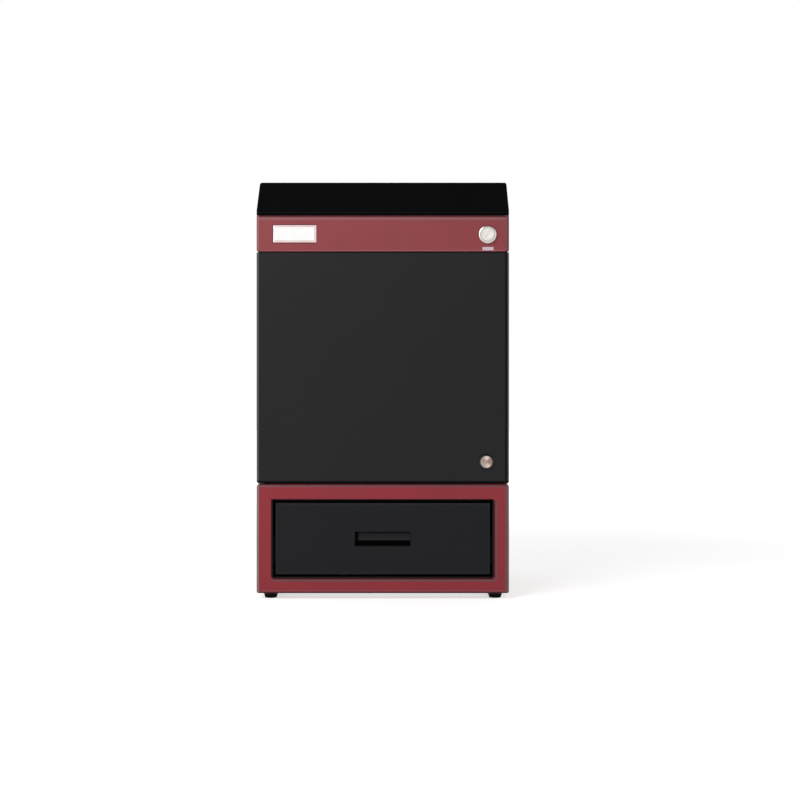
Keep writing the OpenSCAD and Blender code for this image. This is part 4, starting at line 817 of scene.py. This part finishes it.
# ---------- electronics in the band ----------
# A slotted aluminium supply and a green circuit board with its moulded parts. The smallest
# parts are set on the free half of the board in rows, as a placing machine leaves them.
dress(brushed("supply_case", (0.7, 0.71, 0.72), 0.36, "y"), "power_supply")
lacquer, lacquer_tree, lacquer_shader = new_finish("board_lacquer", (0.01, 0.09, 0.035), 0.3)
tracks = chain(lacquer_tree, "ShaderNodeTexBrick", {
    "Vector": on_the_piece(lacquer_tree), "Scale": 60, "Color1": (0.008, 0.08, 0.03, 1),
    "Color2": (0.012, 0.1, 0.04, 1), "Mortar": (0.03, 0.2, 0.08, 1), "Mortar Size": 0.03})
lacquer_tree.links.new(tracks.outputs["Color"], lacquer_shader.inputs["Base Color"])
raise_by(lacquer_tree, lacquer_shader, tracks.outputs["Fac"], 0.00003, 0.4)
dress(lacquer, "control_board")
dress(moulded("part_black", (0.014, 0.014, 0.015), 0.5, grain=900), "board_parts")

board_low, board_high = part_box("control_board")
chip_size = (0.0032, 0.0016, 0.0011)
chip_left = board_low[0] + 0.011
front_row_y, rear_row_y = board_low[1] + 0.038, board_high[1] - 0.012
chip_x, chip_y = 0.0062, 0.0045
close_x, close_y = chip_x * 0.9, chip_y * 0.8
chip_places = [(chip_left + column * chip_x, front_row_y + row * chip_y)
               for row in range(2) for column in range(7)]
chip_places += [(chip_left + column * close_x, rear_row_y - row * close_y)
                for row in range(2) for column in range(9)]
chip_marks = bpy.data.meshes.new("small_chips")
chip_marks.from_pydata([(x, y, board_high[2]) for x, y in chip_places], [], [])
chip_tree, chip_in, chip_out = new_tree("small_chips", (
    ("Size", "NodeSocketVector"), ("Shift", "NodeSocketFloat"), ("Seed", "NodeSocketInt"),
    ("Finish", "NodeSocketMaterial")))
chip_box = chain(chip_tree, "GeometryNodeMeshCube", {"Size": chip_in.outputs["Size"]})
chip_apart = chain(chip_tree, "ShaderNodeSeparateXYZ", {0: chip_in.outputs["Size"]})
chip_lift = chain(chip_tree, "ShaderNodeCombineXYZ", {
    "Z": calculate(chip_tree, "MULTIPLY", chip_apart.outputs["Z"], 0.5)})
chip_up = chain(chip_tree, "GeometryNodeTransform", {
    "Geometry": chip_box.outputs["Mesh"], "Translation": chip_lift.outputs[0]})
shift = chip_in.outputs["Shift"]
shift_back = calculate(chip_tree, "MULTIPLY", shift, -1.0)
shift_low = chain(chip_tree, "ShaderNodeCombineXYZ", {"X": shift_back, "Y": shift_back})
shift_high = chain(chip_tree, "ShaderNodeCombineXYZ", {"X": shift, "Y": shift})
slip = chain(chip_tree, "FunctionNodeRandomValue", {
    "Min": shift_low.outputs[0], "Max": shift_high.outputs[0], "Seed": chip_in.outputs["Seed"]},
    data_type="FLOAT_VECTOR")
chip_moved = chain(chip_tree, "GeometryNodeSetPosition", {
    "Geometry": chip_in.outputs["Geometry"], "Offset": slip.outputs[0]})
chip_set = chain(chip_tree, "GeometryNodeInstanceOnPoints", {
    "Points": chip_moved.outputs[0], "Instance": chip_up.outputs[0]})
chip_real = chain(chip_tree, "GeometryNodeRealizeInstances", {0: chip_set.outputs[0]})
chip_done = chain(chip_tree, "GeometryNodeSetMaterial", {
    0: chip_real.outputs[0], "Material": chip_in.outputs["Finish"]})
chip_tree.links.new(chip_done.outputs[0], chip_out.inputs[0])
chip_tin, tin_tree, tin_shader = new_finish("chip_and_tin", (0.3, 0.3, 0.3), 0.4)
vary_colour(tin_tree, cloudy(tin_tree, 700), tin_shader, (0.05, 0.045, 0.04), (0.5, 0.5, 0.48))
small_chips = grown_mesh("small_chips", chip_marks, chip_tree, {
    "Size": chip_size, "Shift": 0.0003, "Seed": 11, "Finish": chip_tin}, chip_tin, "cabinet")


# ---------- hood, fan and rear socket ----------
# The hood is folded and welded steel with a dull black coat, and foam tape inside its rim closes
# the seam over the band. Behind it a square fan blows out through a nickel-plated wire guard,
# held by four screws.
hood_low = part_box("hood")[0]
hood_black = (0.0022, 0.0022, 0.0022)
# A near-black line along the hood's bottom front edge is painted shade in the seam over the band.
hood_seam_shade = (("Z", hood_low[2] + 0.0010, 0.0034, *front_of(hood_low), (0.0002, 0.0002, 0.0002)),)
dress(sprayed_coat("hood_black_coat", hood_black, 0.5, specular=0.085, light_and_shade_lines=hood_seam_shade),
      "hood")

seam_inset = 0.0016
tape_x, tape_y = half_width - seam_inset, -front_y - seam_inset
tape_width, tape_height = 0.003, 0.0009
tape_shape = bmesh.new()
for side in (-1, 1):
    for x_span, y_span in (
            ((-tape_x, tape_x), (tape_y - tape_width, tape_y)),
            ((tape_x - tape_width, tape_x), (tape_width - tape_y, tape_y - tape_width))):
        xs = sorted(side * x for x in x_span)
        ys = sorted(side * y for y in y_span)
        box_faces(tape_shape, (xs[0], ys[0], hood_low[2]),
                  (xs[1], ys[1], hood_low[2] + tape_height))
foam = moulded("foam_rubber", (0.01, 0.01, 0.01), 0.9,
               grain=1200, depth=0.0002, specular=0.2)
as_piece("hood_tape", tape_shape, foam, "cabinet")

dress(black_plastic, "fan_frame", "fan_rotor")
dress(plated_steel("guard_nickel", (0.66, 0.65, 0.62), 0.22, spangle=400), "fan_guard")
dress(brushed("socket_steel", (0.6, 0.6, 0.61), 0.28, "x", streaks_per_metre=1200), "usb_socket")
fan_low, fan_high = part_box("fan_screws")
fan_x = (fan_low[0] + fan_high[0]) / 2
fan_z = (fan_low[2] + fan_high[2]) / 2
fan_reach = 0.025
fan_seat = rear_y + 0.0034
fan_marks = [((fan_x + x * fan_reach, fan_seat, fan_z + z * fan_reach), (0, 1, 0))
             for x in (-1, 1) for z in (-1, 1)]
set_screws("fan_screw_set", "fan_screws", fan_marks, length=0.02, seed=8, height=0.0016)


# ---------- door ----------
# A folded charcoal skin with a black inner panel, a strip of foam round the inside, hinge pins
# oxidised black and bushes of sintered bronze.
door_charcoal = (0.0075, 0.0078, 0.0088)
door_edge_highlight = (0.07, 0.07, 0.072)
door_low, door_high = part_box("door_skin")
on_door_front = front_of(door_low)
# Painted light on the door's front: pale lines down both outer edges are painted highlights; a
# dark line inside the right edge and one along the bottom are painted shade.
door_light_and_shade = (
    ("X", door_low[0] + 0.0018, 0.0030, *on_door_front, door_edge_highlight),
    ("X", door_high[0] - 0.0052, 0.0026, *on_door_front, (0.0028, 0.0028, 0.0032)),
    ("X", door_high[0] - 0.0010, 0.0026, *on_door_front, door_edge_highlight),
    ("Z", door_low[2] + 0.0012, 0.0020, *on_door_front, (0.0008, 0.0012, 0.0016)),
)
dress(sprayed_coat("door_charcoal_coat", door_charcoal, 0.42, specular=0.175,
                   light_and_shade_lines=door_light_and_shade), "door_skin")
dress(dead_black, "door_inner_panel")
dress(foam, "door_gasket")
dress(plated_steel("black_oxide", (0.02, 0.02, 0.022), 0.4), "hinge_pins")
dress(plated_steel("sintered_bronze", (0.5, 0.32, 0.14), 0.5, spangle=900), "hinge_bushes")


# ---------- door lock ----------
# A cam lock: a black-nickel ring, and in it a brass-toned nickel face turned on a lathe, with
# the keyway cut through its middle. The cam behind is plain zinc-plated steel.
lock_low, lock_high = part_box("lock_plug")
lock_centre = [(low + high) / 2 for low, high in zip(lock_low, lock_high)]
lock_face, lock_tree, lock_shader, _ = turned(
    "lock_face_nickel", (0.42, 0.33, 0.28), 0.3, lock_centre, 0.0006, 0.00004)
lathe_turn = chain(lock_tree, "ShaderNodeMapping", {
    "Vector": on_the_piece(lock_tree, centre=lock_centre),
    "Rotation": (math.radians(90), 0, 0)})
round_the_axis = chain(lock_tree, "ShaderNodeTexGradient", {0: lathe_turn.outputs[0]},
                       gradient_type="RADIAL")
# Light and dark sectors round the lock's axis are painted reflection of the turned face.
lock_sector_reflection = colour_ramp(lock_tree, round_the_axis.outputs["Fac"], (
    (0.0, (0.34, 0.26, 0.22)), (0.14, (0.3, 0.25, 0.21)), (0.26, (0.66, 0.58, 0.52)),
    (0.4, (0.3, 0.17, 0.14)), (0.55, (0.3, 0.19, 0.16)), (0.68, (0.62, 0.5, 0.44)),
    (0.8, (0.4, 0.33, 0.29)), (1.0, (0.34, 0.26, 0.22))))
lock_tree.links.new(lock_sector_reflection.outputs["Color"], lock_shader.inputs["Base Color"])
dress(lock_face, "lock_plug")
lock_ring = turned("lock_ring_black_nickel", (0.035, 0.037, 0.042), 0.28, lock_centre, 0.0008)[0]
dress(lock_ring, "lock_barrel")
dress(zinc, "lock_cam")
